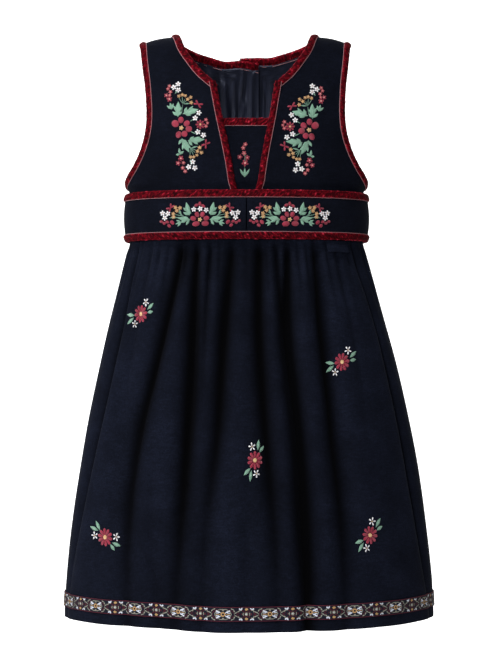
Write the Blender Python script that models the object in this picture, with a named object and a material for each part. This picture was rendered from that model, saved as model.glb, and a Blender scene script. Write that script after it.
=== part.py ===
"""A child's sleeveless folk dress in dark wool with velvet bindings, held out in its worn shape.

The bodice has two front panels that part over an inset plastron, two back panels that overlap at
the centre back, a belt with velvet edges, and a gathered skirt with a woven ribbon near its hem.
Sizes are in millimetres and become metres when a mesh is made. +Z is up, the front faces -Y, and
left and right are those of someone who looks at the front. Z = 0 is where the shoulders carry it.
"""

import math

import bmesh
import bpy
from mathutils import Vector

MM = 0.001

# ---------------------------------------------------------------- cloth and gaps
CLOTH = 1.5  # wool cloth
SKIRT_CLOTH = 1.4
LINING = 1.0
VELVET = 1.1  # one leg of a binding folded over an edge
RIBBON = 1.0
SEAM = 0.3  # gap between pieces that are sewn to each other
EASE = 0.45  # gap under a ring round the waist, and over the lining
BINDING_WIDTH = 5.6
INNER_LEG_SHORT = 0.5  # a binding's inner leg stops this far short of the lining

# ---------------------------------------------------------------- the bodice's form
CHEST_Z = -150.0  # the form is upright below this height and domed over the shoulders above it
BODICE_BOTTOM = -185.0
HALF_WIDTH = 122.5
FRONT_DEPTH = 84.0
BACK_DEPTH = 82.0
ROUNDNESS = 2.3  # exponent of the plan's superellipse
DOME = 2.4  # exponent of the curve from chest to shoulder
BELT_PINCH = 2.0  # how much the belt draws the bodice in
PINCH_TOP = -151.0
PINCH_RUN = 8.6
ARMHOLE_FLARE = 3.2  # how far the cloth stands out at the armhole
FLARE_BOTTOM = -160.0
FLARE_RUN = 24.0
BELOW_CHEST = 110.0  # millimetres of height for each unit of the coordinate below the chest
NECK_POINT = 76.0
NECK_HEIGHT = 2.0
SHOULDER_SLOPE = 0.235
SHOULDER_CROWN = 1.5
SHOULDER_LENGTH = 32.0
SHOULDER_SWING = -1.3  # the shoulders hang this far to the right of the waist

# ---------------------------------------------------------------- cut edges, as x and z on the form
SLIT_FOOT = (5.1, -185.0)
SLIT_EDGE = [(9.8, -159.6), (14.4, -135.0), (19.2, -110.0), (24.1, -85.0)]
SLIT_EDGE += [(27.8, -67.0), (29.3, -55.0)]
FRONT_NECK_EDGE = [(29.3, -55.0), (37.0, -47.4), (45.0, -39.6), (54.5, -26.6), (63.6, -11.0), (71.0, 3.2)]
SIDE_HEIGHTS = (-185.0, -159.6, -149.5)
ARMHOLE_EDGE = [
    (125.5, -149.5),
    (121.2, -144.2),
    (114.2, -134.8),
    (108.0, -123.6),
    (102.4, -108.6),
    (99.2, -92.0),
    (99.1, -75.0),
    (100.9, -50.0),
    (104.4, -25.0),
    (108.2, -5.6),
]
BACK_NECK_EDGE = [(22.0, -13.8), (41.0, -11.8), (57.0, -7.6), (66.5, -2.2), (71.0, 3.2)]
OUTER_CORNER = (-5.6, -13.8)  # the right back passes the centre line by this much
INNER_CORNER = (-14.7, -16.4)  # and the left back runs on further under it
LAP_STEP = 4.8  # depth of the left back under the right one
LAP_RAMP = (32.0, 8.0)  # the step grows between these distances from the centre line

PANEL_ROWS = {"slit": 6, "front_neck": 10, "armhole": 15, "centre_back": 9, "back_neck": 8}
PANEL_COLUMNS = 8  # between the bindings' inner edges
ROW_BEND = 0.15  # how far the rows carry on square to the edges before they turn
LOW_ROWS = 1.5  # above 1, the rows crowd towards the armhole's foot
STATION_WEIGHTS = (0.5, 0.25, 0.25)  # rows follow an edge's length, and its turns round and up

# ---------------------------------------------------------------- plastron
PLASTRON_TOP = -89.0
PLASTRON_MARGIN = 15.0  # how far it runs behind each front panel
PLASTRON_DEPTH = CLOTH + 3 * SEAM + 2 * VELVET + 0.1  # it clears the front panels' bindings

# ---------------------------------------------------------------- belt
BELT_TOP = -160.0
BELT_BOTTOM = -210.0
BELT_BULGE = 2.6
BELT_COLUMNS = 56

# ---------------------------------------------------------------- skirt
SKIRT_TOP = BODICE_BOTTOM - SEAM
HEM_Z = -593.5
HEM_HALF_WIDTH = 190.4
HEM_HALF_DEPTH = 124.0
HEM_ROUNDNESS = 2.1
FLARE_POWER = 1.6
HEM_SWING = 2.6  # the hem hangs this far to the right of the waist
# The hem isn't quite level: how far it is lifted at these angles round the form.
HEM_LIFT = [(-180, 0), (-110, 0), (-90, 0.2), (-60, 1.4), (-35, 1.1), (0, 0)]
HEM_LIFT += [(38, -0.3), (90, 0.2), (180, 0)]
RIBBON_TOP = -568.2
RIBBON_BOTTOM = -582.8
WAIST_Z = -212.0  # the skirt leaves the belt here
SKIRT_ROWS = (SKIRT_TOP, WAIST_Z, -223, -242, -272, -312, -362, -424, -496)
SKIRT_ROWS += (RIBBON_TOP, RIBBON_BOTTOM, HEM_Z)
HALF_COLUMNS = 64

# Each fold is a valley that runs from the waist to the hem. Angles are in degrees round the form
# from the centre front, depths in millimetres, and sharp is the width ratio of its nearer side.
FOLD_NAMES = ("waist_at", "mid_at", "hem_at", "waist_width", "hem_width")
FOLD_NAMES += ("waist_depth", "mid_depth", "hem_depth", "sharp")
FOLDS = [
    (-64.5, -73.0, -75.0, 3.4, 5.0, 4.5, 9.0, 4.0, 0.45),
    (-51.6, -40.0, -37.0, 3.2, 6.0, 3.5, 3.5, 1.5, 1.0),
    (-32.0, -29.0, -27.5, 3.0, 5.0, 4.0, 4.0, 4.0, 1.0),
    (-22.2, -20.5, -18.8, 3.2, 5.2, 5.5, 10.0, 9.0, 1.0),
    (-6.1, -8.5, -9.9, 3.0, 4.2, 4.5, 5.5, 6.0, 1.0),
    (4.5, 6.0, 5.4, 3.2, 5.0, 4.5, 4.0, 2.0, 1.0),
    (14.4, 17.0, 17.5, 3.4, 6.5, 5.5, 10.0, 11.0, 0.5),
    (32.6, 27.5, 27.0, 3.2, 6.0, 4.5, 5.0, 3.0, 1.0),
    (54.0, 49.0, 44.0, 3.4, 6.0, 4.0, 3.5, 2.0, 1.0),
    (66.4, 67.5, 69.0, 3.4, 5.0, 4.5, 9.5, 4.0, 0.45),
    (98.0, 104.0, 106.0, 3.6, 6.0, 4.0, 7.5, 6.0, 1.0),
    (112.0, 118.0, 121.0, 3.4, 6.5, 4.5, 6.0, 5.0, 1.0),
    (128.0, 132.0, 134.0, 3.2, 6.0, 5.0, 8.5, 8.0, 0.7),
    (143.0, 147.0, 148.0, 3.2, 5.5, 4.5, 5.0, 4.0, 1.0),
    (158.0, 160.0, 161.0, 3.4, 6.5, 5.5, 9.5, 9.0, 0.7),
    (173.0, 174.0, 175.0, 3.2, 5.5, 5.0, 5.0, 3.5, 1.0),
    (-97.0, -103.0, -105.0, 3.6, 6.0, 4.0, 7.0, 6.0, 1.0),
    (-111.0, -117.0, -119.0, 3.4, 6.0, 4.5, 6.5, 5.0, 1.0),
    (-126.0, -131.0, -134.0, 3.2, 6.5, 5.0, 9.0, 8.5, 0.7),
    (-142.0, -145.0, -147.0, 3.2, 5.5, 4.5, 4.5, 3.5, 1.0),
    (-156.0, -158.0, -160.0, 3.4, 6.5, 5.5, 9.0, 9.5, 0.7),
    (-170.0, -172.0, -173.0, 3.2, 5.5, 5.0, 5.5, 4.5, 1.0),
]
# Short gathers between the folds, which fade out below the waist.
GATHERS = (-58, -44, -38, -27, -14.5, 0, 10, 21, 26.5, 39.5, 46, 60, 74, 90, 105, 120, 136, 151, 166)
GATHERS += (180, -77, -90, -104, -118.5, -134, -149, -163)
GATHER_DEPTH = 2.6
GATHER_WIDTH = 2.4
GATHER_END = -300.0
BELT_HOLD = 0.4  # share of a fold's waist depth that is left under the belt

# ---------------------------------------------------------------- small pieces
TAB_X = (79.0, 99.5)
TAB_DROP = 11.0
BUTTON_RADIUS = 5.5
BUTTON_THICKNESS = 2.5
BUTTON_X = 4.6
BUTTON_HEIGHTS = (-30.0, -78.0, -126.0)

WOOL = ("navy wool cloth", (0.012, 0.014, 0.024), 0.9)
TWILL_LINING = ("grey lining", (0.045, 0.045, 0.055), 0.45)
RED_VELVET = ("dark red velvet", (0.22, 0.006, 0.014), 0.8)
WOVEN_RIBBON = ("woven ribbon", (0.25, 0.2, 0.17), 0.7)
BUTTON_PLASTIC = ("navy button", (0.012, 0.014, 0.024), 0.35)


def signed_power(value, power):
    return math.copysign(abs(value) ** power, value)


def smooth(value):
    held = min(max(value, 0.0), 1.0)
    return held * held * (3.0 - 2.0 * held)


def mix(first, second, share):
    return first + (second - first) * share


# ================================================================ the form under the bodice
def half_width(z):
    flare = ARMHOLE_FLARE * smooth((z - FLARE_BOTTOM) / FLARE_RUN)
    return HALF_WIDTH + flare - belt_pinch(z)


def belt_pinch(z):
    return BELT_PINCH * smooth((PINCH_TOP - z) / PINCH_RUN)


def shoulder_height(x):
    along = (abs(x) - NECK_POINT) / SHOULDER_LENGTH
    crown = SHOULDER_CROWN * math.sin(math.pi * min(max(along, 0.0), 1.0))
    return NECK_HEIGHT - SHOULDER_SLOPE * (abs(x) - NECK_POINT) + crown


def form_point(side, around, up):
    """Point on the form. side is -1 in front and 1 behind, around is 0 at the centre line and a
    quarter turn at the side, up is 0 at the chest and a quarter turn on the shoulder line."""
    z = CHEST_Z + BELOW_CHEST * up
    x = HALF_WIDTH * signed_power(math.sin(around), 2 / ROUNDNESS)
    for _ in range(4):
        if up > 0:
            z = CHEST_Z + (shoulder_height(x) - CHEST_Z) * math.sin(up) ** (2 / DOME)
        x = half_width(z) * signed_power(math.sin(around), 2 / ROUNDNESS)
    depth = (FRONT_DEPTH if side < 0 else BACK_DEPTH) - belt_pinch(z)
    depth *= signed_power(math.cos(around), 2 / ROUNDNESS)
    if up > 0:
        depth *= signed_power(math.cos(up), 2 / DOME)
    return Vector((x, side * depth, z))


def form_normal(side, around, up):
    step = 0.002
    across = form_point(side, around + step, up) - form_point(side, around - step, up)
    along = form_point(side, around, up + step) - form_point(side, around, up - step)
    normal = across.cross(along) * -side
    return normal.normalized()


def form_place(x, z):
    """The (around, up) coordinates of a point given by its x and z."""
    share = min(abs(x) / half_width(z), 1.0)
    around = math.copysign(math.asin(share ** (ROUNDNESS / 2)), x)
    if z <= CHEST_Z:
        return around, (z - CHEST_Z) / BELOW_CHEST
    rise = min((z - CHEST_Z) / (shoulder_height(x) - CHEST_Z), 1.0)
    return around, math.asin(rise ** (DOME / 2))


def curve_through(points, share):
    """Catmull-Rom curve through a list of coordinate pairs, with share from 0 to 1."""
    spans = len(points) - 1
    index = min(int(share * spans), spans - 1)
    t = share * spans - index
    before = points[max(index - 1, 0)]
    start, end = points[index], points[index + 1]
    after = points[min(index + 2, spans)]
    return tuple(
        0.5
        * (
            2 * b
            + (c - a) * t
            + (2 * a - 5 * b + 4 * c - d) * t * t
            + (3 * b - a - 3 * c + d) * t**3
        )
        for a, b, c, d in zip(before, start, end, after)
    )


def stations(side, edge, count, power=1.0):
    """count + 1 places along a cut edge, closer together where the form bends under the edge."""
    controls = [form_place(x, z) for x, z in edge]
    fine = [curve_through(controls, i / 200) for i in range(201)]
    points = [form_point(side, *place) for place in fine]
    runs = [[0.0], [0.0], [0.0]]
    for k in range(200):
        steps = [(points[k + 1] - points[k]).length]
        steps += [abs(after - before) for before, after in zip(fine[k], fine[k + 1])]
        for run, step in zip(runs, steps):
            run.append(run[-1] + step)
    shares = [[value / max(run[-1], 1e-9) for value in run] for run in runs]
    keys = [sum(w * share for w, share in zip(STATION_WEIGHTS, row)) for row in zip(*shares)]
    found = [fine[0]]
    for i in range(1, count + 1):
        wanted = (i / count) ** power * keys[-1]
        at = next((k for k, key in enumerate(keys) if key >= wanted - 1e-9), len(keys) - 1)
        share = (wanted - keys[at - 1]) / max(keys[at] - keys[at - 1], 1e-9)
        found.append(tuple(mix(a, b, share) for a, b in zip(fine[at - 1], fine[at])))
    return found


def shifted(side, place, move):
    """The place that lies a small move away over the form."""
    step = 0.002
    around, up = place
    base = form_point(side, around, up)
    across = (form_point(side, around + step, up) - base) / step
    along = (form_point(side, around, up + step) - base) / step
    a, b, c = across.dot(across), across.dot(along), along.dot(along)
    p, q = across.dot(move), along.dot(move)
    det = a * c - b * b
    return around + (c * p - b * q) / det, up + (a * q - b * p) / det


def row_curve(left, first, final, right, bend, t):
    """A row's curve, which leaves both bindings square to their edges."""
    chord = math.dist(first, final)
    away = chord * bend / math.dist(left, first)
    back = chord * bend / math.dist(right, final)
    place = []
    for outer, start, end, far in zip(left, first, final, right):
        lead, trail = (start - outer) * away, (far - end) * back
        place.append(
            start * (1 + 2 * t) * (1 - t) ** 2
            + end * t * t * (3 - 2 * t)
            + lead * t * (1 - t) ** 2
            + trail * t * t * (t - 1)
        )
    return tuple(place)


def level_step(side, place, distance):
    """The place that lies this far round the form at the same height."""
    around, up = place
    small = math.copysign(0.002, distance)
    for _ in range(16):
        run = (form_point(side, around + small, up) - form_point(side, around, up)).length
        around += distance / 16 * 0.002 / run
    return around, up


def lowered(side, place, drop):
    point = form_point(side, *place)
    return place[0], form_place(point.x, point.z - drop)[1]


def inset(side, edge, index, width, inward):
    """The place a binding's width in from an edge, square to it."""
    before, after = edge[max(index - 1, 0)], edge[min(index + 1, len(edge) - 1)]
    here = edge[index]
    tangent = form_point(side, *after) - form_point(side, *before)
    square = form_normal(side, *here).cross(tangent).normalized()
    if square.dot(inward) < 0:
        square.negate()
    halfway = shifted(side, here, square * width * 0.5)
    return shifted(side, halfway, square * width * 0.5)


def panel_places(side, inner, outer):
    """Grid of places for a bodice panel. Its second and last but one columns lie a binding's
    width inside the edges, so that the bindings can be made from the panel's own points. Rows
    are dropped beside the square corners at the armhole's foot and at the centre back's top."""
    corner_row = PANEL_ROWS["centre_back"]
    drops = {corner_row - 1: 0.75 * BINDING_WIDTH, corner_row: BINDING_WIDTH} if side > 0 else {}
    rows = []
    last = len(inner) - 1
    for index, (left, right) in enumerate(zip(inner, outer)):
        first = level_step(side, left, BINDING_WIDTH)
        final = level_step(side, right, -BINDING_WIDTH)
        if index in drops:
            first = lowered(side, first, drops[index])
        if index == len(SIDE_HEIGHTS) - 1:
            final = lowered(side, final, BINDING_WIDTH)
        if index not in (0, 1, last) and index not in drops:
            across = form_point(side, *right) - form_point(side, *left)
            first = inset(side, inner, index, BINDING_WIDTH, across)
            if index != len(SIDE_HEIGHTS) - 1:
                final = inset(side, outer, index, BINDING_WIDTH, -across)
        spans = PANEL_COLUMNS - 1
        bend = ROW_BEND * smooth((index - 1) / 3)
        middle = [row_curve(left, first, final, right, bend, k / spans) for k in range(spans + 1)]
        rows.append([left, *middle, right])
    return rows


# ================================================================ meshes and materials
def material(name, colour, roughness):
    found = bpy.data.materials.get(name)
    if found:
        return found
    made = bpy.data.materials.new(name)
    made.use_nodes = True
    shader = made.node_tree.nodes["Principled BSDF"]
    shader.inputs["Base Color"].default_value = (*colour, 1.0)
    shader.inputs["Roughness"].default_value = roughness
    shader.inputs["Metallic"].default_value = 0.0
    made.diffuse_color = (*colour, 1.0)
    return made


def add_object(name, points, faces, finish):
    mesh = bpy.data.meshes.new(name)
    mesh.from_pydata([tuple(Vector(p) * MM) for p in points], [], faces)
    mesh.materials.append(material(*finish))
    mesh.shade_smooth()
    mesh.set_sharp_from_angle(angle=math.radians(50))
    made = bpy.data.objects.new(name, mesh)
    bpy.context.scene.collection.objects.link(made)
    made.parent = bpy.data.objects["dress"]
    return made


def facing_out(rows, faces, outwards):
    """Turns the faces round if the first one doesn't point the way that outwards says."""
    flat = [point for row in rows for point in row]
    a, b, c = (flat[i] for i in faces[0][:3])
    if (b - a).cross(c - a).dot(outwards) < 0:
        return flat, [face[::-1] for face in faces]
    return flat, faces


def split(corners, points):
    """Two triangles for a quad, cut along the shorter diagonal of the points that it follows.
    Pieces that lie on each other follow the same points, so their facets match."""
    a, b, c, d = corners
    p, q, r, s = points
    if (r - p).length <= (s - q).length:
        return [[a, b, c], [a, c, d]]
    return [[a, b, d], [b, c, d]]


def cloth(name, rows, normals, thickness, finish, like=None):
    """A sheet of cloth: its outer face is the grid of points, and the wall is laid inwards."""
    like = like or rows
    wide, tall = len(rows[0]), len(rows)
    inner = [
        [p - n * thickness for p, n in zip(row, lean)] for row, lean in zip(rows, normals)
    ]
    layers = wide * tall
    faces = []

    def at(layer, row, column):
        return layer * layers + row * wide + column

    for row in range(tall - 1):
        for column in range(wide - 1):
            quad = [(row, column), (row, column + 1), (row + 1, column + 1), (row + 1, column)]
            followed = [like[i][j] for i, j in quad]
            faces += split([at(0, *corner) for corner in quad], followed)
            faces += [face[::-1] for face in split([at(1, *corner) for corner in quad], followed)]
    top, end = tall - 1, wide - 1
    for k in range(wide - 1):
        faces.append([at(0, 0, k + 1), at(0, 0, k), at(1, 0, k), at(1, 0, k + 1)])
        faces.append([at(0, top, k), at(0, top, k + 1), at(1, top, k + 1), at(1, top, k)])
    for k in range(tall - 1):
        faces.append([at(0, k, 0), at(0, k + 1, 0), at(1, k + 1, 0), at(1, k, 0)])
        faces.append([at(0, k + 1, end), at(0, k, end), at(1, k, end), at(1, k + 1, end)])
    flat, faces = facing_out(rows + inner, faces, normals[0][0])
    return add_object(name, flat, faces, finish)


def binding(name, edges, insets, edge_normals, inset_normals, thickness, ring=False, trim=(0.0, 0.0)):
    """A strip of velvet folded over a cloth edge: a U whose legs lie on both faces of the cloth.
    trim shortens the strip at its two ends."""
    profiles = []
    near, far = SEAM, SEAM + VELVET
    for e, i, en, inn in zip(edges, insets, edge_normals, inset_normals):
        out = (e - i).normalized()
        inside = i + out * INNER_LEG_SHORT
        profiles.append(
            [
                i + inn * far,
                e + en * far + out * far,
                e - en * (thickness + far) + out * far,
                inside - inn * (thickness + far),
                inside - inn * (thickness + near),
                e - en * (thickness + near) + out * near,
                e + en * near + out * near,
                i + inn * near,
            ]
        )
    if not ring:
        for end, beside, cut in ((0, 1, trim[0]), (-1, -2, trim[1])):
            run = (profiles[beside][1] - profiles[end][1]).length
            profiles[end] = [p + (q - p) * (cut / run) for p, q in zip(profiles[end], profiles[beside])]
    size, count = 8, len(profiles)
    rim_side = (insets, edges, edges, insets, insets, edges, edges, insets)
    faces = []
    for s in range(count if ring else count - 1):
        after = (s + 1) % count
        for k in range(size):
            m = (k + 1) % size
            quad = [s * size + k, s * size + m, after * size + m, after * size + k]
            followed = [rim_side[k][s], rim_side[m][s], rim_side[m][after], rim_side[k][after]]
            if rim_side[k] is rim_side[m]:
                faces.append(quad)
            else:
                faces += split(quad, followed)
    if not ring:
        faces += end_caps(0, flip=True) + end_caps((count - 1) * size, flip=False)
    outward = edge_normals[0]
    flat, faces = facing_out(profiles, faces, outward)
    return add_object(name, flat, faces, RED_VELVET)


def end_caps(base, flip):
    """The end of a U: two legs and the fold between them, as three quads."""
    quads = [[0, 1, 6, 7], [1, 2, 5, 6], [2, 3, 4, 5]]
    return [[base + k for k in (q[::-1] if flip else q)] for q in quads]


# ================================================================ bodice
class Panel:
    """A bodice panel: its grid of places, and its outer points and normals after mirroring."""

    def __init__(self, side, inner, outer, mirror, lap=False):
        self.places = panel_places(side, inner, outer)
        self.mirror = mirror
        self.points, self.normals = [], []
        for row in self.places:
            points, normals = [], []
            for place in row:
                point, normal = form_point(side, *place), form_normal(side, *place)
                if lap:
                    start, end = LAP_RAMP
                    point = point - normal * LAP_STEP * smooth((start - point.x) / (start - end))
                swing = SHOULDER_SWING * smooth((point.z - BELT_TOP) / -BELT_TOP)
                point.y += side * SEAM / 2
                points.append(Vector((mirror * point.x + swing, point.y, point.z)))
                normals.append(Vector((mirror * normal.x, normal.y, normal.z)))
            self.points.append(points)
            self.normals.append(normals)

    def column(self, index):
        return [row[index] for row in self.points], [row[index] for row in self.normals]


def front_panel(mirror):
    slit = stations(-1, SLIT_EDGE, PANEL_ROWS["slit"], LOW_ROWS)
    neck = stations(-1, FRONT_NECK_EDGE, PANEL_ROWS["front_neck"])
    return Panel(-1, [form_place(*SLIT_FOOT), *slit, *neck[1:]], outer_edge(-1), mirror)


def outer_edge(side):
    seam = [(math.pi / 2, form_place(HALF_WIDTH, z)[1]) for z in SIDE_HEIGHTS]
    return seam + stations(side, ARMHOLE_EDGE, PANEL_ROWS["armhole"])[1:]


def back_panel(mirror, corner, lap):
    centre_x, top = corner
    start = SIDE_HEIGHTS[1]
    above = PANEL_ROWS["centre_back"] - 2
    shares = [(k / above) ** LOW_ROWS for k in range(above + 1)]
    heights = [BODICE_BOTTOM] + [mix(start, top - BINDING_WIDTH, share) for share in shares]
    centre = [form_place(centre_x, z) for z in heights]
    neck = stations(1, [corner, *BACK_NECK_EDGE], PANEL_ROWS["back_neck"])
    return Panel(1, centre + neck, outer_edge(1), mirror, lap)


def lining(name, panel):
    """The lining lies under the cloth, up to the centre edge and the bindings' inner legs."""
    depth = CLOTH + EASE
    followed, rows, normals = [], [], []
    for index, (row, lean) in enumerate(zip(panel.points, panel.normals)):
        start = 0 if index < PANEL_ROWS["centre_back"] else 1
        points, leans = [row[start], *row[2:-1]], [lean[start], *lean[2:-1]]
        followed.append(points)
        rows.append([p - n * depth for p, n in zip(points, leans)])
        normals.append(leans)
    return cloth(name, rows, normals, LINING, TWILL_LINING, like=followed)


def turn_corner(run):
    """A second station close to a corner, where a binding's inner edge turns and its rim doesn't."""
    return [run[0], mix(run[0], run[1], 0.15), *run[1:]]


def armhole_binding(name, front, back):
    """A ring round the armhole, down the front panel's edge and up the back panel's."""
    bottom = len(SIDE_HEIGHTS) - 1
    below = BINDING_WIDTH / (SIDE_HEIGHTS[-1] - SIDE_HEIGHTS[-2])
    runs = []
    for panel in (front, back):
        edge, edge_lean = panel.column(-1)
        inner, inner_lean = panel.column(-2)
        under = mix(edge[bottom], edge[bottom - 1], below)
        runs.append(
            [
                turn_corner(edge[bottom:]),
                [under, *inner[bottom:]],
                turn_corner(edge_lean[bottom:]),
                [edge_lean[bottom], *inner_lean[bottom:]],
            ]
        )
    loops = [down + up[::-1] for down, up in zip(*runs)]
    return binding(name, *loops, CLOTH, ring=True)


def neck_binding(name, front, back):
    """From the corner of the slit, over the shoulder, to the centre back edge."""
    corner, centre = PANEL_ROWS["slit"] + 1, PANEL_ROWS["centre_back"]
    front_edge, front_lean = front.column(0)
    front_inner, front_inner_lean = front.column(1)
    back_edge, back_lean = back.column(0)
    back_inner, back_inner_lean = back.column(1)
    runs = [
        ahead[corner:] + behind[::-1]
        for ahead, behind in (
            (front_edge, turn_corner(back_edge[centre:])),
            (front_inner, [back_edge[centre - 1], *back_inner[centre:]]),
            (front_lean, turn_corner(back_lean[centre:])),
            (front_inner_lean, [back_lean[centre - 1], *back_inner_lean[centre:]]),
        )
    ]
    return binding(name, *runs, CLOTH, trim=(SEAM / 2, 0.0))


def slit_binding(name, panel):
    """Up the slit's edge, from the belt to the neck's corner."""
    corner = PANEL_ROWS["slit"] + 1
    edge, lean = panel.column(0)
    inner, inner_lean = panel.column(1)
    runs = [run[1 : corner + 1] for run in (edge, inner, lean, inner_lean)]
    return binding(name, *runs, CLOTH, trim=(0.0, SEAM / 2))


def plastron_rows():
    heights = [BODICE_BOTTOM, -161.0, -137.0, -113.0, PLASTRON_TOP - BINDING_WIDTH, PLASTRON_TOP]
    rows, normals = [], []
    for z in heights:
        slit = mix(SLIT_FOOT[0], SLIT_EDGE[3][0], (z - SLIT_FOOT[1]) / (SLIT_EDGE[3][1] - SLIT_FOOT[1]))
        reach = slit + PLASTRON_MARGIN
        places = [form_place(reach * (k / 4 - 1), z) for k in range(9)]
        lean = [form_normal(-1, *place) for place in places]
        rows.append([form_point(-1, *p) - n * PLASTRON_DEPTH for p, n in zip(places, lean)])
        normals.append(lean)
    return rows, normals


def plastron():
    rows, normals = plastron_rows()
    cloth("plastron", rows, normals, CLOTH, WOOL)
    binding("plastron_binding", rows[-1], rows[-2], normals[-1], normals[-2], CLOTH)


# ================================================================ belt
def ring_point(angle, z, out):
    """Point on the waist's plan, out millimetres outside the pinched form."""
    width = HALF_WIDTH - BELT_PINCH + out
    depth = (FRONT_DEPTH if math.cos(angle) > 0 else BACK_DEPTH) - BELT_PINCH + out
    x = width * signed_power(math.sin(angle), 2 / ROUNDNESS)
    y = -depth * signed_power(math.cos(angle), 2 / ROUNDNESS)
    return Vector((x, y, z))


def ring_normal(angle):
    across = ring_point(angle + 0.002, 0, 0) - ring_point(angle - 0.002, 0, 0)
    return Vector((across.y, -across.x, 0)).normalized()


def belt_row(z, angles):
    rise = (z - BELT_BOTTOM) / (BELT_TOP - BELT_BOTTOM)
    out = EASE + VELVET + SEAM + CLOTH + BELT_BULGE * math.sin(math.pi * rise)
    return [ring_point(a, z, out) for a in angles], [ring_normal(a) for a in angles]


def belt():
    edge = SEAM + VELVET
    heights = [BELT_BOTTOM + edge, BELT_BOTTOM + edge + BINDING_WIDTH, (BELT_TOP + BELT_BOTTOM) / 2]
    heights += [BELT_TOP - edge - BINDING_WIDTH, BELT_TOP - edge]
    gap = SEAM / 2 / FRONT_DEPTH
    half = BELT_COLUMNS // 2
    turn = [2 * math.pi * k / BELT_COLUMNS - math.pi for k in range(BELT_COLUMNS + 1)]
    halves = {"belt_left": turn[: half + 1], "belt_right": turn[half:]}
    for name, angles in halves.items():
        angles = [angles[0] + gap, *angles[1:-1], angles[-1] - gap]
        grid = [belt_row(z, angles) for z in heights]
        cloth(name, [row for row, _ in grid], [lean for _, lean in grid], CLOTH, WOOL)
    ring = turn[:-1]
    for name, at, inside in (("belt_binding_bottom", 0, 1), ("belt_binding_top", 4, 3)):
        rim, lean = belt_row(heights[at], ring)
        inner, _ = belt_row(heights[inside], ring)
        binding(name, rim, inner, lean, lean, CLOTH, ring=True)


# ================================================================ skirt
def fold_depth(angle, z):
    """How far the cloth lies inside the skirt's outline at this angle, in degrees, and height."""
    fall = min(max((WAIST_Z - z) / (WAIST_Z - HEM_Z), 0.0), 1.0)
    held = mix(BELT_HOLD, 1.0, smooth((WAIST_Z + 6 - z) / 24))
    total = 0.0
    for row in FOLDS:
        fold = dict(zip(FOLD_NAMES, row))
        if fall < 0.5:
            at = mix(fold["waist_at"], fold["mid_at"], fall * 2)
            depth = mix(fold["waist_depth"], fold["mid_depth"], smooth(fall * 2))
        else:
            at = mix(fold["mid_at"], fold["hem_at"], fall * 2 - 1)
            depth = mix(fold["mid_depth"], fold["hem_depth"], smooth(fall * 2 - 1))
        width = mix(fold["waist_width"], fold["hem_width"], fall)
        away = (angle - at + 180) % 360 - 180
        towards_front = away * math.copysign(1, at) < 0
        if towards_front:
            width *= fold["sharp"]
        total += depth * math.exp(-((away / width) ** 2))
    fade = 1 - smooth((WAIST_Z - z) / (WAIST_Z - GATHER_END))
    for at in GATHERS:
        away = (angle - at + 180) % 360 - 180
        total += GATHER_DEPTH * fade * math.exp(-((away / GATHER_WIDTH) ** 2))
    return total * held


def hem_lift(angle):
    wrapped = (angle + 180) % 360 - 180
    for (start, low), (end, high) in zip(HEM_LIFT, HEM_LIFT[1:]):
        if wrapped <= end:
            return mix(low, high, smooth((wrapped - start) / (end - start)))
    return 0.0


def skirt_point(angle, z):
    """Point on the skirt's outer face. angle is in degrees from the centre front."""
    turn = math.radians(angle)
    fall = min(max((WAIST_Z - z) / (WAIST_Z - HEM_Z), 0.0), 1.0)
    spread = 1 - (1 - fall) ** FLARE_POWER
    power = 2 / mix(ROUNDNESS, HEM_ROUNDNESS, fall)
    waist_depth = (FRONT_DEPTH if math.cos(turn) > 0 else BACK_DEPTH) - BELT_PINCH
    width = mix(HALF_WIDTH - BELT_PINCH, HEM_HALF_WIDTH, spread)
    depth = mix(waist_depth, HEM_HALF_DEPTH, spread)
    x = width * signed_power(math.sin(turn), power)
    y = -depth * signed_power(math.cos(turn), power)
    lean = 2 / power - 1
    out = Vector((signed_power(x / width, lean) / width, signed_power(y / depth, lean) / depth, 0))
    point = Vector((x, y, z)) - out.normalized() * fold_depth(angle, z)
    point.x += HEM_SWING * smooth(fall * 2)
    point.z += hem_lift(angle) * fall * fall
    return point


def skirt_normal(angle, z):
    across = skirt_point(angle + 0.4, z) - skirt_point(angle - 0.4, z)
    down = skirt_point(angle, z - 0.5) - skirt_point(angle, z + 0.5)
    return down.cross(across).normalized()


def skirt():
    """A front panel and two back panels, each with its stretch of woven ribbon laid on it."""
    gap = math.degrees(SEAM / 2 / HALF_WIDTH)
    spans = {"skirt_front": (-90, 90), "skirt_back_right": (90, 180), "skirt_back_left": (180, 270)}
    for name, (start, end) in spans.items():
        count = round(HALF_COLUMNS * (end - start) / 180)
        angles = [mix(start + gap, end - gap, k / count) for k in range(count + 1)]
        rows = [[skirt_point(a, z) for a in angles] for z in SKIRT_ROWS]
        normals = [[skirt_normal(a, z) for a in angles] for z in SKIRT_ROWS]
        cloth(name, rows, normals, SKIRT_CLOTH, WOOL)
        out = SEAM + RIBBON
        band = [i for i, z in enumerate(SKIRT_ROWS) if z in (RIBBON_TOP, RIBBON_BOTTOM)]
        laid = [[p + n * out for p, n in zip(rows[i], normals[i])] for i in band]
        lean = [normals[i] for i in band]
        cloth(name.replace("skirt", "hem_ribbon"), laid, lean, RIBBON, WOVEN_RIBBON)


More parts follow.
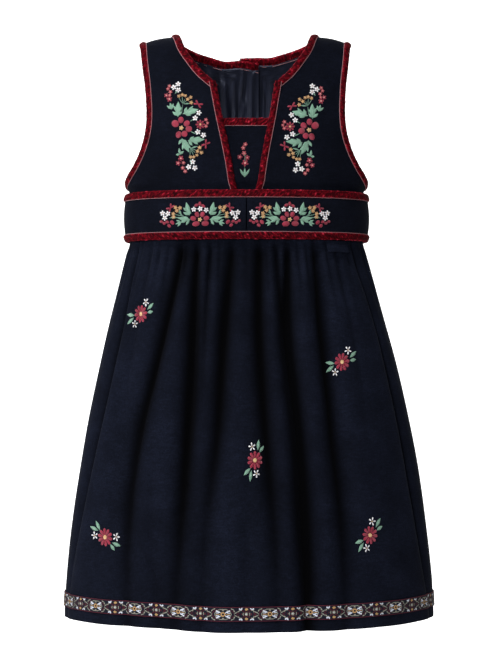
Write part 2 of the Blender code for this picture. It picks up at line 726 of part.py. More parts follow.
def belt_tab():
    """A short end of cloth that hangs from under the belt over the skirt's gathers."""
    top = BELT_BOTTOM - SEAM
    rows, normals = [], []
    for z in (top - TAB_DROP, top - TAB_DROP / 2, top):
        lean, points = [], []
        for k in range(5):
            x = mix(TAB_X[0], TAB_X[1], k / 4)
            angle = math.asin((x / (HALF_WIDTH - BELT_PINCH)) ** (ROUNDNESS / 2))
            fall = (BELT_BOTTOM - z) * 0.28
            points.append(ring_point(angle, z, SEAM + CLOTH + fall))
            lean.append(ring_normal(angle))
        rows.append(points)
        normals.append(lean)
    cloth("belt_tab", rows, normals, CLOTH, WOOL)


# ================================================================ buttons
def back_buttons():
    for number, z in enumerate(BUTTON_HEIGHTS, 1):
        place = form_place(BUTTON_X, z)
        normal = form_normal(1, *place)
        stand_off = SEAM + BUTTON_THICKNESS / 2
        centre = form_point(1, *place) + normal * stand_off + Vector((0, SEAM / 2, 0))
        mesh = bmesh.new()
        bmesh.ops.create_cone(
            mesh,
            cap_ends=True,
            segments=20,
            radius1=BUTTON_RADIUS * MM,
            radius2=BUTTON_RADIUS * 0.78 * MM,
            depth=BUTTON_THICKNESS * MM,
        )
        data = bpy.data.meshes.new(f"back_button_{number}")
        mesh.to_mesh(data)
        mesh.free()
        data.materials.append(material(*BUTTON_PLASTIC))
        button = bpy.data.objects.new(data.name, data)
        bpy.context.scene.collection.objects.link(button)
        button.parent = bpy.data.objects["dress"]
        button.location = centre * MM
        button.rotation_euler = normal.to_track_quat("Z", "Y").to_euler()


def main():
    for old in list(bpy.data.objects):
        bpy.data.objects.remove(old)
    root = bpy.data.objects.new("dress", None)
    bpy.context.scene.collection.objects.link(root)

    fronts = {"left": front_panel(-1), "right": front_panel(1)}
    backs = {
        "left": back_panel(-1, INNER_CORNER, lap=True),
        "right": back_panel(1, OUTER_CORNER, lap=False),
    }
    for hand, front in fronts.items():
        back = backs[hand]
        cloth(f"bodice_front_{hand}", front.points, front.normals, CLOTH, WOOL)
        cloth(f"bodice_back_{hand}", back.points, back.normals, CLOTH, WOOL)
        lining(f"lining_back_{hand}", back)
        slit_binding(f"slit_binding_{hand}", front)
        neck_binding(f"neck_binding_{hand}", front, back)
        armhole_binding(f"armhole_binding_{hand}", front, back)
    plastron()
    belt()
    skirt()
    belt_tab()
    back_buttons()


main()
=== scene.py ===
# %% [markdown]
# # A child's folk dress in dark wool and velvet
#
# The dress is a sleeveless bodice and a gathered skirt in fulled navy wool. Crushed red velvet
# binds every edge, flowers are embroidered on the bodice, the belt and the skirt, and a woven
# ribbon runs round above the hem. The solids underneath already have every piece's size
# and place. Each step below makes one kind of piece anew, finer, in the same place, and gives it
# the surface of the real cloth.

# %% Load the solids
import bisect
import math
import random

import bmesh
import bpy
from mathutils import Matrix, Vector, noise
from mathutils.bvhtree import BVHTree


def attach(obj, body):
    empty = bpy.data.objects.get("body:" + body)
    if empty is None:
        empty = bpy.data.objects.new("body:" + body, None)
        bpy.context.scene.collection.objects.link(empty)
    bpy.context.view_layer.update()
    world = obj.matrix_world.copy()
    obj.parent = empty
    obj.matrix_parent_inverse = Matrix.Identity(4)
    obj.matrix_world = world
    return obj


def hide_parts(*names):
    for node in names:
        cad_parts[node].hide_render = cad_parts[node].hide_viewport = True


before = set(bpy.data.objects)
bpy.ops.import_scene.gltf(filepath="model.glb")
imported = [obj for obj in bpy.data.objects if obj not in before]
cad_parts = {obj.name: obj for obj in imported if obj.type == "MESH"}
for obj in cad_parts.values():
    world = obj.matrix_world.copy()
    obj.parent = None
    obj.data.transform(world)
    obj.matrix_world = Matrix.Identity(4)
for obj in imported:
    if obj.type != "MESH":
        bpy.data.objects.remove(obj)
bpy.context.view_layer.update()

MM = 0.001

# %% [markdown]
# ## Camera, light and floor
#
# The camera stands level with the middle of the dress, two metres in front of it, with a long
# lens, so that the sides barely turn towards it. Dark wool shows its folds only where light
# fails to reach into them, so the room stays weak. A small lamp stands close to the camera and a
# larger one hangs above it for the tops of the folds. One at the left and a faint one behind draw
# the outline. The first lamp is the smallest, because small lamps keep the folds crisp.

# %% Camera
CAMERA_PLACE = (0.0036, -2.1, -0.303)
SENSOR_HEIGHT = 36.0
SEEN_PER_METRE = 667 / 2033  # height in view at a metre from the camera, in metres
bpy.ops.object.camera_add(location=CAMERA_PLACE, rotation=(math.pi / 2, 0, 0))
camera = bpy.context.object
camera.name = "camera"
camera.data.sensor_fit = "VERTICAL"
camera.data.sensor_height = SENSOR_HEIGHT
camera.data.lens = SENSOR_HEIGHT / SEEN_PER_METRE
bpy.context.scene.camera = camera
bpy.context.scene.view_settings.view_transform = "Standard"
print("lens", round(camera.data.lens, 1), "mm")


# %% Lamps and room
# Places and sizes are in metres, powers in watts.
def lamp(name, location, aim, size, power):
    bpy.ops.object.light_add(type="AREA", location=location)
    made = bpy.context.object
    made.name = name
    made.data.size = size
    made.data.energy = power
    made.rotation_euler = (Vector(aim) - Vector(location)).to_track_quat("-Z", "Y").to_euler()
    return made


lamp("front_lamp", (-0.32, -2.2, 0.0), (0, 0, -0.22), 0.25, 23.5)
lamp("high_lamp", (-0.5, -1.35, 1.75), (0, 0, -0.3), 0.7, 44)
lamp("side_lamp", (-2.1, -0.9, 0.4), (0, 0, -0.35), 0.8, 30)
lamp("back_lamp", (-0.4, 1.4, 1.1), (0, 0, -0.3), 0.8, 10)
room = bpy.data.worlds.new("pale room")
bpy.context.scene.world = room
room.use_nodes = True
sky = room.node_tree.nodes["Background"]
sky.inputs["Color"].default_value = (1.0, 1.0, 1.0, 1.0)
sky.inputs["Strength"].default_value = 0.09


# %% [markdown]
# ## Two helpers for the modelling
#
# An operator works on everything that is selected, so each piece starts with nothing selected.
# Cloth starts as a grid primitive. Every crossing of the grid is then moved to its place by a
# rule, and Solidify lays the cloth's thickness on the inside. The grid keeps its own flat layout
# as its UV map, scaled here to metres, so that a pattern follows the cloth and not the room.

# %% Helpers
def nothing_selected():
    if bpy.context.mode != "OBJECT":
        bpy.ops.object.mode_set(mode="OBJECT")
    bpy.ops.object.select_all(action="DESELECT")


def only(piece):
    nothing_selected()
    piece.select_set(True)
    bpy.context.view_layer.objects.active = piece


def add_modifier(piece, kind, **settings):
    only(piece)
    modifier = piece.modifiers.new(kind.lower(), kind)
    for setting, value in settings.items():
        setattr(modifier, setting, value)
    bpy.ops.object.modifier_apply(modifier=modifier.name)


def grid_piece(name, place, columns, rows, flat, outwards=None):
    """A grid whose crossings lie at place(u, v) in mm. flat is the cloth's size in mm."""
    nothing_selected()
    bpy.ops.mesh.primitive_grid_add(x_subdivisions=columns, y_subdivisions=rows, size=2)
    piece = bpy.context.object
    piece.name = piece.data.name = name
    for vertex in piece.data.vertices:
        u, v = (vertex.co.x + 1) / 2, (vertex.co.y + 1) / 2
        vertex.co = Vector(place(u, v)) * MM
    for corner in piece.data.uv_layers[0].data:
        corner.uv = (corner.uv[0] * flat[0] * MM, corner.uv[1] * flat[1] * MM)
    piece.data.update()
    middle = piece.data.polygons[len(piece.data.polygons) // 2]
    if outwards is not None and middle.normal.dot(outwards) < 0:
        piece.data.flip_normals()
    return piece


def thick_cloth(piece, thickness, angle=50):
    """Gives the cloth its thickness, laid on the side that its faces don't look to."""
    add_modifier(piece, "SOLIDIFY", thickness=thickness * MM, offset=-1, use_even_offset=False)
    only(piece)
    bpy.ops.object.shade_smooth_by_angle(angle=math.radians(angle))


def placed(piece, surface, slot=None, replaces=(), **sheet):
    """Gives a finished piece its surface, hangs it from the root and hides the solids it replaces.
    """
    piece.data.materials.clear()
    piece.data.materials.append(surface)
    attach(piece, "root")
    if replaces:
        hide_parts(*replaces)
    triangles = sum(len(face.vertices) - 2 for face in piece.data.polygons)
    print(piece.name, triangles, "triangles")
    return piece


def smooth(value):
    held = min(max(value, 0.0), 1.0)
    return held * held * (3.0 - 2.0 * held)


def mix(first, second, share):
    return first + (second - first) * share


def ripple(x, y, z, size):
    """Soft unevenness from -1 to 1, with hills about size mm across."""
    return noise.noise(Vector((x, y, z)) / size)


# %% [markdown]
# ## Finishes
#
# Fulled wool has a felted face: its threads barely show, light falls into the nap and only a
# faint haze of fibre ends catches it at the edges. Crushed velvet has its pile laid over in many
# directions, so it is nearly black where it looks away and bright red where it leans to the
# light. Lining is a filament satin, darker and glossier. Embroidery cotton has a soft lustre
# along its threads, and the woven ribbon is matt. Each is one Principled shader, with its
# pattern in real sizes: a noise of Scale=900 has spots about a millimetre wide.

# %% Nodes and colours
def linear(colour):
    """A colour such as #1b2036, in the linear values that shaders use."""
    channels = [int(colour[i : i + 2], 16) / 255 for i in (1, 3, 5)]
    spread = [c / 12.92 if c <= 0.04045 else ((c + 0.055) / 1.055) ** 2.4 for c in channels]
    return (*spread, 1.0)


def node(tree, kind, links=None, **settings):
    """Adds a node. A setting names a property or, if it starts with a capital, a socket."""
    made = tree.nodes.new("ShaderNode" + kind)
    for key, value in settings.items():
        if key[0].isupper():
            made.inputs[key.replace("_", " ")].default_value = value
        else:
            setattr(made, key, value)
    for socket, source in (links or {}).items():
        tree.links.new(source, made.inputs[socket])
    return made


def finish(name, **settings):
    """A new material, its node tree, and its Principled shader set as given."""
    made = bpy.data.materials.new(name)
    made.use_nodes = True
    shader = made.node_tree.nodes["Principled BSDF"]
    for key, value in settings.items():
        shader.inputs[key.replace("_", " ")].default_value = value
    return made, made.node_tree, shader


def ramp(tree, source, stops):
    """A colour ramp through (value, colour) stops."""
    made = node(tree, "ValToRGB", {"Fac": source})
    elements = made.color_ramp.elements
    while len(elements) < len(stops):
        elements.new(0.5)
    for element, (place, colour) in zip(elements, stops):
        element.position = place
        element.color = linear(colour)
    return made


def paint(tree, shader, source, stops):
    """Colours the shader by a ramp over the source's values."""
    tree.links.new(ramp(tree, source, stops).outputs[0], shader.inputs["Base Color"])


def bump(tree, shader, height, distance, strength=1.0, over=None):
    """Raises the surface by height times distance, in metres, over another bump if there is one."""
    made = node(tree, "Bump", {"Height": height}, Distance=distance, Strength=strength)
    if over is not None:
        tree.links.new(over.outputs[0], made.inputs["Normal"])
    tree.links.new(made.outputs[0], shader.inputs["Normal"])
    return made


# %% Fulled navy wool
# Fibre ends stand about 1 mm apart here. Real ones are finer, but would not show. The weft's
# thicker places are 6 mm long and about 1 mm high. A painted shade value is stored on each piece
# as it is modelled: the wool is painted darker deep in the skirt's folds, and evenly darker over
# the bodice, the plastron and the belt, as painted shade.
wool, tree, shader = finish(
    "fulled navy wool",
    Roughness=0.95, Specular_IOR_Level=0.03, Sheen_Weight=0.03, Sheen_Roughness=0.5,
)
shader.inputs["Sheen Tint"].default_value = linear("#6d7594")
where = node(tree, "TexCoord").outputs["Object"]
nap = node(tree, "TexNoise", {"Vector": where}, Scale=900.0, Detail=3.0, Roughness=0.6)
patches = node(tree, "TexNoise", {"Vector": where}, Scale=26.0, Detail=3.0, Roughness=0.55)
slubs = node(tree, "Mapping", {"Vector": where}, Scale=(160.0, 160.0, 850.0))
weft = node(
    tree, "TexNoise", {"Vector": slubs.outputs[0]}, Scale=1.0, Detail=2.0, Roughness=0.5
)
threads = node(
    tree, "Mix", {"A": nap.outputs["Fac"], "B": weft.outputs["Fac"]},
    data_type="FLOAT", Factor=0.35,
)
tone = node(
    tree, "Mix", {"A": threads.outputs[0], "B": patches.outputs["Fac"]},
    data_type="FLOAT", Factor=0.3,
)
dye = ramp(tree, tone.outputs[0], [(0.34, "#080a11"), (0.5, "#0e111b"), (0.66, "#171b29")])
# Painted shade: the dye is mixed towards near black by the stored painted shade value.
painted_shade = node(tree, "Attribute", attribute_name="painted_shade")
shaded_dye = node(
    tree, "MixRGB", {"Fac": painted_shade.outputs["Fac"], "Color1": dye.outputs[0]},
    Color2=linear("#020203"),
)
tree.links.new(shaded_dye.outputs[0], shader.inputs["Base Color"])
coarse = bump(tree, shader, patches.outputs["Fac"], 0.0006, 0.5)
bump(tree, shader, nap.outputs["Fac"], 0.00035, 0.8, over=coarse)
print("wool has", len(tree.nodes), "nodes")

# %% Crushed velvet
# A value is stored on the mesh while the crush is modelled: 0 where the pile is pressed, 1 on a
# ridge, and more along the strip's edges. The ramp paints it as the crush's own mottling with
# painted sheen on it: near black in the pressed troughs, bright red on the ridges.
velvet, tree, shader = finish(
    "crushed red velvet",
    Roughness=0.85, Specular_IOR_Level=0.04, Sheen_Weight=0.05, Sheen_Roughness=0.4,
)
shader.inputs["Sheen Tint"].default_value = linear("#c2202f")
where = node(tree, "TexCoord").outputs["Object"]
pile_sheen = node(tree, "Attribute", attribute_name="pile_sheen")
tufts = node(tree, "TexNoise", {"Vector": where}, Scale=750.0, Detail=4.0, Roughness=0.65)
tone = node(
    tree, "Mix", {"A": pile_sheen.outputs["Fac"], "B": tufts.outputs["Fac"]},
    data_type="FLOAT", Factor=0.25,
)
PILE_SHEEN_COLOURS = [(0.14, "#080001"), (0.42, "#330208"), (0.66, "#620511"), (0.92, "#bc2f44")]
paint(tree, shader, tone.outputs[0], PILE_SHEEN_COLOURS)
bump(tree, shader, tufts.outputs["Fac"], 0.0005, 0.7)
print("velvet has", len(tree.nodes), "nodes")

# %% Edge cord
cord_pink, tree, shader = finish("twisted pink cord", Roughness=0.6, Sheen_Weight=0.2)
where = node(tree, "TexCoord").outputs["UV"]
twist = node(
    tree, "TexWave", {"Vector": where},
    wave_type="BANDS", bands_direction="DIAGONAL", Scale=420.0, Distortion=0.4,
)
# The twist's grooves are painted darker and its ridges lighter, as painted shade and highlight.
paint(tree, shader, twist.outputs["Fac"], [(0.1, "#935058"), (0.9, "#c0888e")])
bump(tree, shader, twist.outputs["Fac"], 0.0002)
print("cord has", len(tree.nodes), "nodes")

# %% Satin lining
# Its floats are long threads on the face, 17 mm long and 1 mm wide. They give the gloss its grain.
satin, tree, shader = finish("dark grey satin lining", Roughness=0.42, Specular_IOR_Level=0.42)
shader.inputs["Specular Tint"].default_value = linear("#b4bad2")
where = node(tree, "TexCoord").outputs["UV"]
stretch = node(tree, "Mapping", {"Vector": where}, Scale=(900.0, 60.0, 1.0))
floats = node(tree, "TexNoise", {"Vector": stretch.outputs[0]}, Scale=1.0, Detail=2.0)
paint(tree, shader, floats.outputs["Fac"], [(0.35, "#0d0f18"), (0.65, "#181b28")])
bump(tree, shader, floats.outputs["Fac"], 0.00012, 0.6)
print(len(bpy.data.materials), "materials so far")

# %% [markdown]
# ## The form under the bodice
#
# Someone who sews would pad a stand to the wearer's size first. Here the stand is a rule: a
# rounded oval at chest height that is upright below and domed over the shoulders above. A place
# on it is two numbers, how far round and how far up, so a cut edge is a row of such places.

# %% The stand, in mm
CLOTH, SKIRT_CLOTH, VELVET = 1.5, 1.4, 1.1  # thicknesses
SEAM, EASE, BINDING = 0.3, 0.45, 5.6  # a seam's gap, the belt's ease, a binding's width
CHEST_Z, BODICE_BOTTOM, BELT_LINE, ARMHOLE_FOOT = -150.0, -185.0, -159.6, -149.5
BELOW_CHEST = 110.0  # fall that counts as one on the way down from the chest
HALF_WIDTH, FRONT_DEPTH, BACK_DEPTH = 122.5, 84.0, 82.0
ROUNDNESS, DOME = 2.3, 2.4  # 2 is an ellipse, more is squarer
BELT_PINCH = 2.0
SHOULDER_X, SHOULDER_SLOPE = 76.0, 0.235
NUDGE = 0.002  # a step on the stand, for finding which way it faces


def signed_power(value, power):
    return math.copysign(abs(value) ** power, value)


def belt_pinch(z):
    return BELT_PINCH * smooth((-151.0 - z) / 8.6)


def half_width(z):
    return HALF_WIDTH + 3.2 * smooth((z + 160.0) / 24.0) - belt_pinch(z)


def shoulder_height(x):
    beyond = abs(x) - SHOULDER_X
    along = min(max(beyond / 32.0, 0.0), 1.0)
    return 2.0 - SHOULDER_SLOPE * beyond + 1.5 * math.sin(math.pi * along)


# %% Points and normals on the stand
def form_point(side, around, up):
    """side is -1 in front and 1 behind; around and up run from 0 to a quarter turn."""
    z = CHEST_Z + BELOW_CHEST * up
    x = HALF_WIDTH * signed_power(math.sin(around), 2 / ROUNDNESS)
    for _ in range(4 if up > 0 else 1):
        if up > 0:
            z = CHEST_Z + (shoulder_height(x) - CHEST_Z) * math.sin(up) ** (2 / DOME)
        x = half_width(z) * signed_power(math.sin(around), 2 / ROUNDNESS)
    depth = (FRONT_DEPTH if side < 0 else BACK_DEPTH) - belt_pinch(z)
    depth *= signed_power(math.cos(around), 2 / ROUNDNESS)
    if up > 0:
        depth *= signed_power(math.cos(up), 2 / DOME)
    return Vector((x, side * depth, z))


def form_normal(side, around, up):
    across = form_point(side, around + NUDGE, up) - form_point(side, around - NUDGE, up)
    along = form_point(side, around, up + NUDGE) - form_point(side, around, up - NUDGE)
    return (across.cross(along) * -side).normalized()


def form_place(x, z):
    """The place, around and up, of the point at x and z."""
    share = min(abs(x) / half_width(z), 1.0)
    around = math.copysign(math.asin(share ** (ROUNDNESS / 2)), x)
    if z <= CHEST_Z:
        return around, (z - CHEST_Z) / BELOW_CHEST
    rise = min((z - CHEST_Z) / (shoulder_height(x) - CHEST_Z), 1.0)
    return around, math.asin(rise ** (DOME / 2))


def curve_through(points, share):
    """A smooth curve through a list of points of any size, with share from 0 to 1."""
    spans = len(points) - 1
    index = min(int(share * spans), spans - 1)
    t = share * spans - index
    before, start = points[max(index - 1, 0)], points[index]
    end, after = points[index + 1], points[min(index + 2, spans)]
    return tuple(
        0.5
        * (
            2 * b
            + (c - a) * t
            + (2 * a - 5 * b + 4 * c - d) * t * t
            + (3 * b - a - 3 * c + d) * t**3
        )
        for a, b, c, d in zip(before, start, end, after)
    )


print("chest", round(2 * HALF_WIDTH), "mm wide,", round(FRONT_DEPTH + BACK_DEPTH), "mm deep")

# %% [markdown]
# ## Cut edges and panels
#
# Each bodice panel is cut between two edges: from the slit up round the neck on one side, and
# from the side seam up the armhole on the other. The rows of the panel join the two edges. The
# columns next to the edges lie a binding's width in, so the bindings come from the same points.
# Both hands are drawn on the right half, and the left one is mirrored as it is laid.

# %% Cut edges as x and z, in mm
SLIT_FOOT = (5.1, BODICE_BOTTOM)
NECK_CORNER, SHOULDER_TOP = (29.3, -55.0), (71.0, 3.2)
SLIT_EDGE = [(9.8, BELT_LINE), (14.4, -135.0), (19.2, -110.0), (24.1, -85.0), (27.8, -67.0)]
SLIT_EDGE += [NECK_CORNER]
FRONT_NECK = [NECK_CORNER, (37.0, -47.4), (45.0, -39.6), (54.5, -26.6), (63.6, -11.0), SHOULDER_TOP]
BACK_NECK = {
    "left": [(22.0, -15.2), (33.0, -13.3), (43.0, -10.9), (54.0, -7.6), (66.5, -2.2), SHOULDER_TOP],
    "right": [(22.0, -12.6), (33.0, -11.0), (43.0, -8.6), (54.0, -5.8), (66.5, -1.4), SHOULDER_TOP],
}
ARMHOLE = [(125.5, ARMHOLE_FOOT), (121.2, -144.2), (114.2, -134.8), (108.0, -123.6)]
ARMHOLE += [(102.4, -108.6), (99.2, -92.0), (99.1, -75.0), (100.9, -50.0), (104.4, -25.0)]
ARMHOLE += [(108.2, -5.6)]
SIDE_HEIGHTS = (BODICE_BOTTOM, BELT_LINE, ARMHOLE_FOOT)
SLIT_ROWS, NECK_ROWS, ARMHOLE_ROWS, CENTRE_ROWS, BACK_NECK_ROWS = 6, 10, 15, 9, 8
# The right back laps over the left one, which steps in under it between these two x.
CENTRE_BACK = {"right": (-5.6, -12.6), "left": (-14.7, -15.6)}
LAP_STEP, LAP_FROM, LAP_RUN = 4.8, 32.0, 24.0
print("points on the armhole:", len(ARMHOLE), "and on the front neck:", len(FRONT_NECK))


# %% Stations along an edge
FINE_STEPS = 200


def stations(side, edge, count, power=1.0):
    """count + 1 places along a cut edge, closer together where the form bends under it."""
    controls = [form_place(x, z) for x, z in edge]
    fine = [curve_through(controls, i / FINE_STEPS) for i in range(FINE_STEPS + 1)]
    points = [form_point(side, *place) for place in fine]
    runs = [[0.0], [0.0], [0.0]]
    for k in range(FINE_STEPS):
        steps = [(points[k + 1] - points[k]).length]
        steps += [abs(after - before) for before, after in zip(fine[k], fine[k + 1])]
        for run, step in zip(runs, steps):
            run.append(run[-1] + step)
    shares = [[value / max(run[-1], 1e-9) for value in run] for run in runs]
    keys = [0.5 * a + 0.25 * b + 0.25 * c for a, b, c in zip(*shares)]
    found = [fine[0]]
    for i in range(1, count + 1):
        wanted = (i / count) ** power * keys[-1]
        at = next((k for k, key in enumerate(keys) if key >= wanted - 1e-9), FINE_STEPS)
        share = (wanted - keys[at - 1]) / max(keys[at] - keys[at - 1], 1e-9)
        found.append(tuple(mix(a, b, share) for a, b in zip(fine[at - 1], fine[at])))
    return found


# %% Small moves over the stand
def moved(side, place, move):
    """The place that lies a small move away over the form."""
    around, up = place
    base = form_point(side, around, up)
    across = (form_point(side, around + NUDGE, up) - base) / NUDGE
    along = (form_point(side, around, up + NUDGE) - base) / NUDGE
    a, b, c = across.dot(across), across.dot(along), along.dot(along)
    p, q = across.dot(move), along.dot(move)
    return around + (c * p - b * q) / (a * c - b * b), up + (a * q - b * p) / (a * c - b * b)


def level_step(side, place, distance):
    """The place that lies a distance away at the same height."""
    around, up = place
    small, steps = math.copysign(NUDGE, distance), 16
    for _ in range(steps):
        run = (form_point(side, around + small, up) - form_point(side, around, up)).length
        around += distance / steps * NUDGE / run
    return around, up


def lowered(side, place, drop):
    point = form_point(side, *place)
    return place[0], form_place(point.x, point.z - drop)[1]


def inset(side, edge, index, width, inward):
    """The place a binding's width in from an edge, square to it."""
    here = edge[index]
    behind, ahead = edge[index - 1], edge[min(index + 1, len(edge) - 1)]
    tangent = form_point(side, *ahead) - form_point(side, *behind)
    square = form_normal(side, *here).cross(tangent).normalized()
    if square.dot(inward) < 0:
        square.negate()
    return moved(side, moved(side, here, square * width * 0.5), square * width * 0.5)


# %% Panels
def row_curve(left, first, final, right, bend, t):
    """A row between its two binding columns, bent a little towards the edges beyond them."""
    away = math.dist(first, final) * bend / math.dist(left, first)
    back = math.dist(first, final) * bend / math.dist(right, final)
    return tuple(
        start * (1 + 2 * t) * (1 - t) ** 2
        + end * t * t * (3 - 2 * t)
        + (start - outer) * away * t * (1 - t) ** 2
        + (far - end) * back * t * t * (t - 1)
        for outer, start, end, far in zip(left, first, final, right)
    )


def panel_places(side, inner, outer):
    """Ten places on each row: both edges, a binding's width in from each, and six between."""
    drops = {CENTRE_ROWS - 1: 0.75 * BINDING, CENTRE_ROWS: BINDING} if side > 0 else {}
    rows = []
    for index, (left, right) in enumerate(zip(inner, outer)):
        first, final = level_step(side, left, BINDING), level_step(side, right, -BINDING)
        if index in drops:
            first = lowered(side, first, drops[index])
        if index == 2:
            final = lowered(side, final, BINDING)
        if index not in (0, 1, len(inner) - 1) and index not in drops:
            across = form_point(side, *right) - form_point(side, *left)
            first = inset(side, inner, index, BINDING, across)
            if index != 2:
                final = inset(side, outer, index, BINDING, -across)
        bend = 0.15 * smooth((index - 1) / 3)
        inside = [row_curve(left, first, final, right, bend, k / 7) for k in range(8)]
        rows.append([left, *inside, right])
    return rows


# %% A cut panel
class Panel:
    """A cut panel: its places on the stand, and where each of them lies on one hand."""

    def __init__(self, side, hand):
        self.side, self.mirror = side, -1 if hand == "left" else 1
        self.lap = side > 0 and hand == "left"
        seam = [(math.pi / 2, form_place(HALF_WIDTH, z)[1]) for z in SIDE_HEIGHTS]
        outer = seam + stations(side, ARMHOLE, ARMHOLE_ROWS)[1:]
        if side < 0:
            inner = [form_place(*SLIT_FOOT), *stations(side, SLIT_EDGE, SLIT_ROWS, 1.5)]
            inner += stations(side, FRONT_NECK, NECK_ROWS)[1:]
        else:
            x, top = CENTRE_BACK[hand]
            shares = [(k / 7) ** 1.5 for k in range(8)]
            heights = [BODICE_BOTTOM] + [mix(BELT_LINE, top - BINDING, share) for share in shares]
            inner = [form_place(x, z) for z in heights]
            inner += stations(side, [(x, top), *BACK_NECK[hand]], BACK_NECK_ROWS)
        self.places = panel_places(side, inner, outer)
        self.lines = {}  # lines up the panel that between has already drawn

    def lay(self, place, inwards=0.0):
        """The point and the outward normal at a place, some mm under the cloth's face."""
        place = (min(place[0], math.pi / 2), place[1])
        point, normal = form_point(self.side, *place), form_normal(self.side, *place)
        if self.lap:
            point = point - normal * LAP_STEP * smooth((LAP_FROM - point.x) / LAP_RUN)
        swing = -1.3 * smooth((point.z + 160.0) / 160.0)  # the shoulders hang a little to the left
        point.y += self.side * SEAM / 2
        point = point - normal * inwards
        flip = Vector((self.mirror, 1, 1))
        return point * flip + Vector((swing, 0, 0)), normal * flip

    def column(self, index):
        """The points and the outward normals down one column of the panel."""
        laid = [self.lay(row[index]) for row in self.places]
        return [point for point, _ in laid], [normal for _, normal in laid]

    def between(self, u, v, last=9.0):
        """The place at the share u of the way across to column last, and v up the panel."""
        share = u * last / 9.0
        if share not in self.lines:
            self.lines[share] = [curve_through(row, share) for row in self.places]
        return curve_through(self.lines[share], v)


panels = {
    (name, hand): Panel(side, hand)
    for name, side in (("front", -1), ("back", 1))
    for hand in ("left", "right")
}
print("stations on each panel's edge:", len(panels["front", "left"].places))

# %% [markdown]
# ## Bodice panels
#
# A panel could be cut flat and draped by simulation, but this one is fitted, so it simply follows
# the stand. The grid's columns run up the panel between its two edges. Worn wool is never quite
# smooth: a few shallow creases are pressed in where the arm and the belt pull at it.

# %% Creases
# Each crease runs from one x, z to another, with its half width and its depth in mm.
FRONT_CREASES = [
    (-118, -150, -84, -128, 6.0, 0.7), (-112, -158, -70, -150, 5.0, 0.6),
    (-100, -60, -78, -96, 8.0, 0.5), (118, -150, 82, -126, 6.0, 0.7),
    (110, -158, 66, -148, 5.0, 0.6), (98, -58, 76, -98, 8.0, 0.5),
    (-46, -158, -34, -120, 5.0, 0.5), (48, -158, 40, -116, 5.0, 0.5),
    (-88, -30, -60, -44, 7.0, 0.4), (88, -28, 62, -46, 7.0, 0.4),
]


def crease_depth(x, z, creases):
    total = 0.0
    for x1, z1, x2, z2, width, depth in creases:
        run, reach = Vector((x2 - x1, z2 - z1)), Vector((x - x1, z - z1))
        share = max(0.0, min(1.0, reach.dot(run) / run.length_squared))
        away = (reach - run * share).length
        if away < 3 * width:
            taper = 0.35 + 0.65 * math.sin(math.pi * share)
            total += depth * math.exp(-((away / width) ** 2)) * taper
    return total


def uneven(point, amount=0.45):
    return amount * ripple(point.x, point.y * 1.7, point.z, 34.0)


print(len(FRONT_CREASES), "creases in the front")


# %% Front and back of the bodice
PANEL_HEIGHT = 165


def worn_wool(spot, u, v):
    return uneven(spot) - crease_depth(spot.x, spot.z, FRONT_CREASES)


def bodice_cloth(name, panel, sink, edge_hold, last=9.0, columns=48, rows=72, relief=worn_wool):
    """Cloth over a panel, sink mm deep, from its first column to its last, with a relief that
    dies out towards the edges."""

    def place(u, v):
        spot, normal = panel.lay(panel.between(u, v, last), sink)
        sides = smooth((min(u, 1 - u) * 9 - edge_hold) / 1.2)
        ends = smooth(min(v * 20, (1 - v) * 16))
        return spot + normal * relief(spot, u, v) * (sides * ends)

    return grid_piece(name, place, columns, rows, (105, PANEL_HEIGHT), Vector((0, panel.side, 0)))


def shade_whole_piece(piece, amount=0.42):
    """Paints the whole piece darker, as painted shade."""
    for value in piece.data.attributes.new("painted_shade", "FLOAT", "POINT").data:
        value.value = amount


for (part, hand), panel in panels.items():
    piece = bodice_cloth(f"bodice_{part}_{hand}_cloth", panel, 0.0, 1.0)
    # Painted shade: the whole piece is painted darker.
    shade_whole_piece(piece)
    thick_cloth(piece, CLOTH)
    width = 95 if part == "front" else 130  # the cut's mean width
    placed(
        piece, wool, "wool_cloth", [f"bodice_{part}_{hand}"],
        flat=(width * MM * 1.25, 0.190), held="stretched", rests_on=[f"lining_back_{hand}"],
        area=width * PANEL_HEIGHT * MM * MM * 1.05,
    )

# %% [markdown]
# ## Lining
#
# The lining of the back shows through the neck. It is cut fuller than the wool and eased in, so it
# stands in soft upright ruffles below the neck binding, which catch the light as satin does.

# %% Back lining
LINING_CLOTH = 0.6
LINING_CREASES = [
    (-44, -22, -22, -42, 2.6, 1.3), (-38, -16, -33, -60, 3.0, 1.2), (-24, -20, -20, -95, 2.4, 1.4),
    (-14, -30, -11, -100, 1.8, 1.2), (-4, -24, -6, -62, 2.0, 1.1), (-8, -52, 1, -66, 1.5, 0.9),
    (1, -50, -7, -78, 1.5, 0.9), (6, -22, 4, -100, 2.4, 1.2), (19, -26, 17, -100, 1.6, 1.0),
    (27, -22, 25, -100, 2.2, 1.4), (38, -24, 31, -70, 3.0, 1.2), (-52, -24, -46, -100, 3.0, 1.2),
]


def ruffles(spot, u, v):
    """How far the satin stands off. It lies flat under the neck binding and at the centre back."""
    neck, column = smooth((v * 17 - 8.0) / 0.8), 8 * u
    loose = mix(smooth(column * 1.6 + 0.5), smooth((column - 1.08) / 0.3), neck)
    wander = 3.0 * ripple(spot.x, 40.0, spot.z, 30.0)
    fine = math.sin((spot.x + wander) * 0.9) * (0.4 + 0.8 * ripple(spot.x, 9.0, spot.z, 22.0))
    creases = crease_depth(spot.x, spot.z, LINING_CREASES)
    return (-1.6 - 0.5 * fine - 2.0 * creases + 0.6 * ripple(*spot, 13.0)) * loose


for hand in ("left", "right"):
    piece = bodice_cloth(
        f"lining_back_{hand}_satin", panels["back", hand], CLOTH,
        edge_hold=-5.0, last=8.0, columns=110, rows=70, relief=ruffles,
    )
    thick_cloth(piece, LINING_CLOTH)
    placed(
        piece, satin, "lining", [f"lining_back_{hand}"],
        flat=(0.135, 0.180), held="gathered", rests_on=[f"bodice_back_{hand}"], area=0.0185,
    )
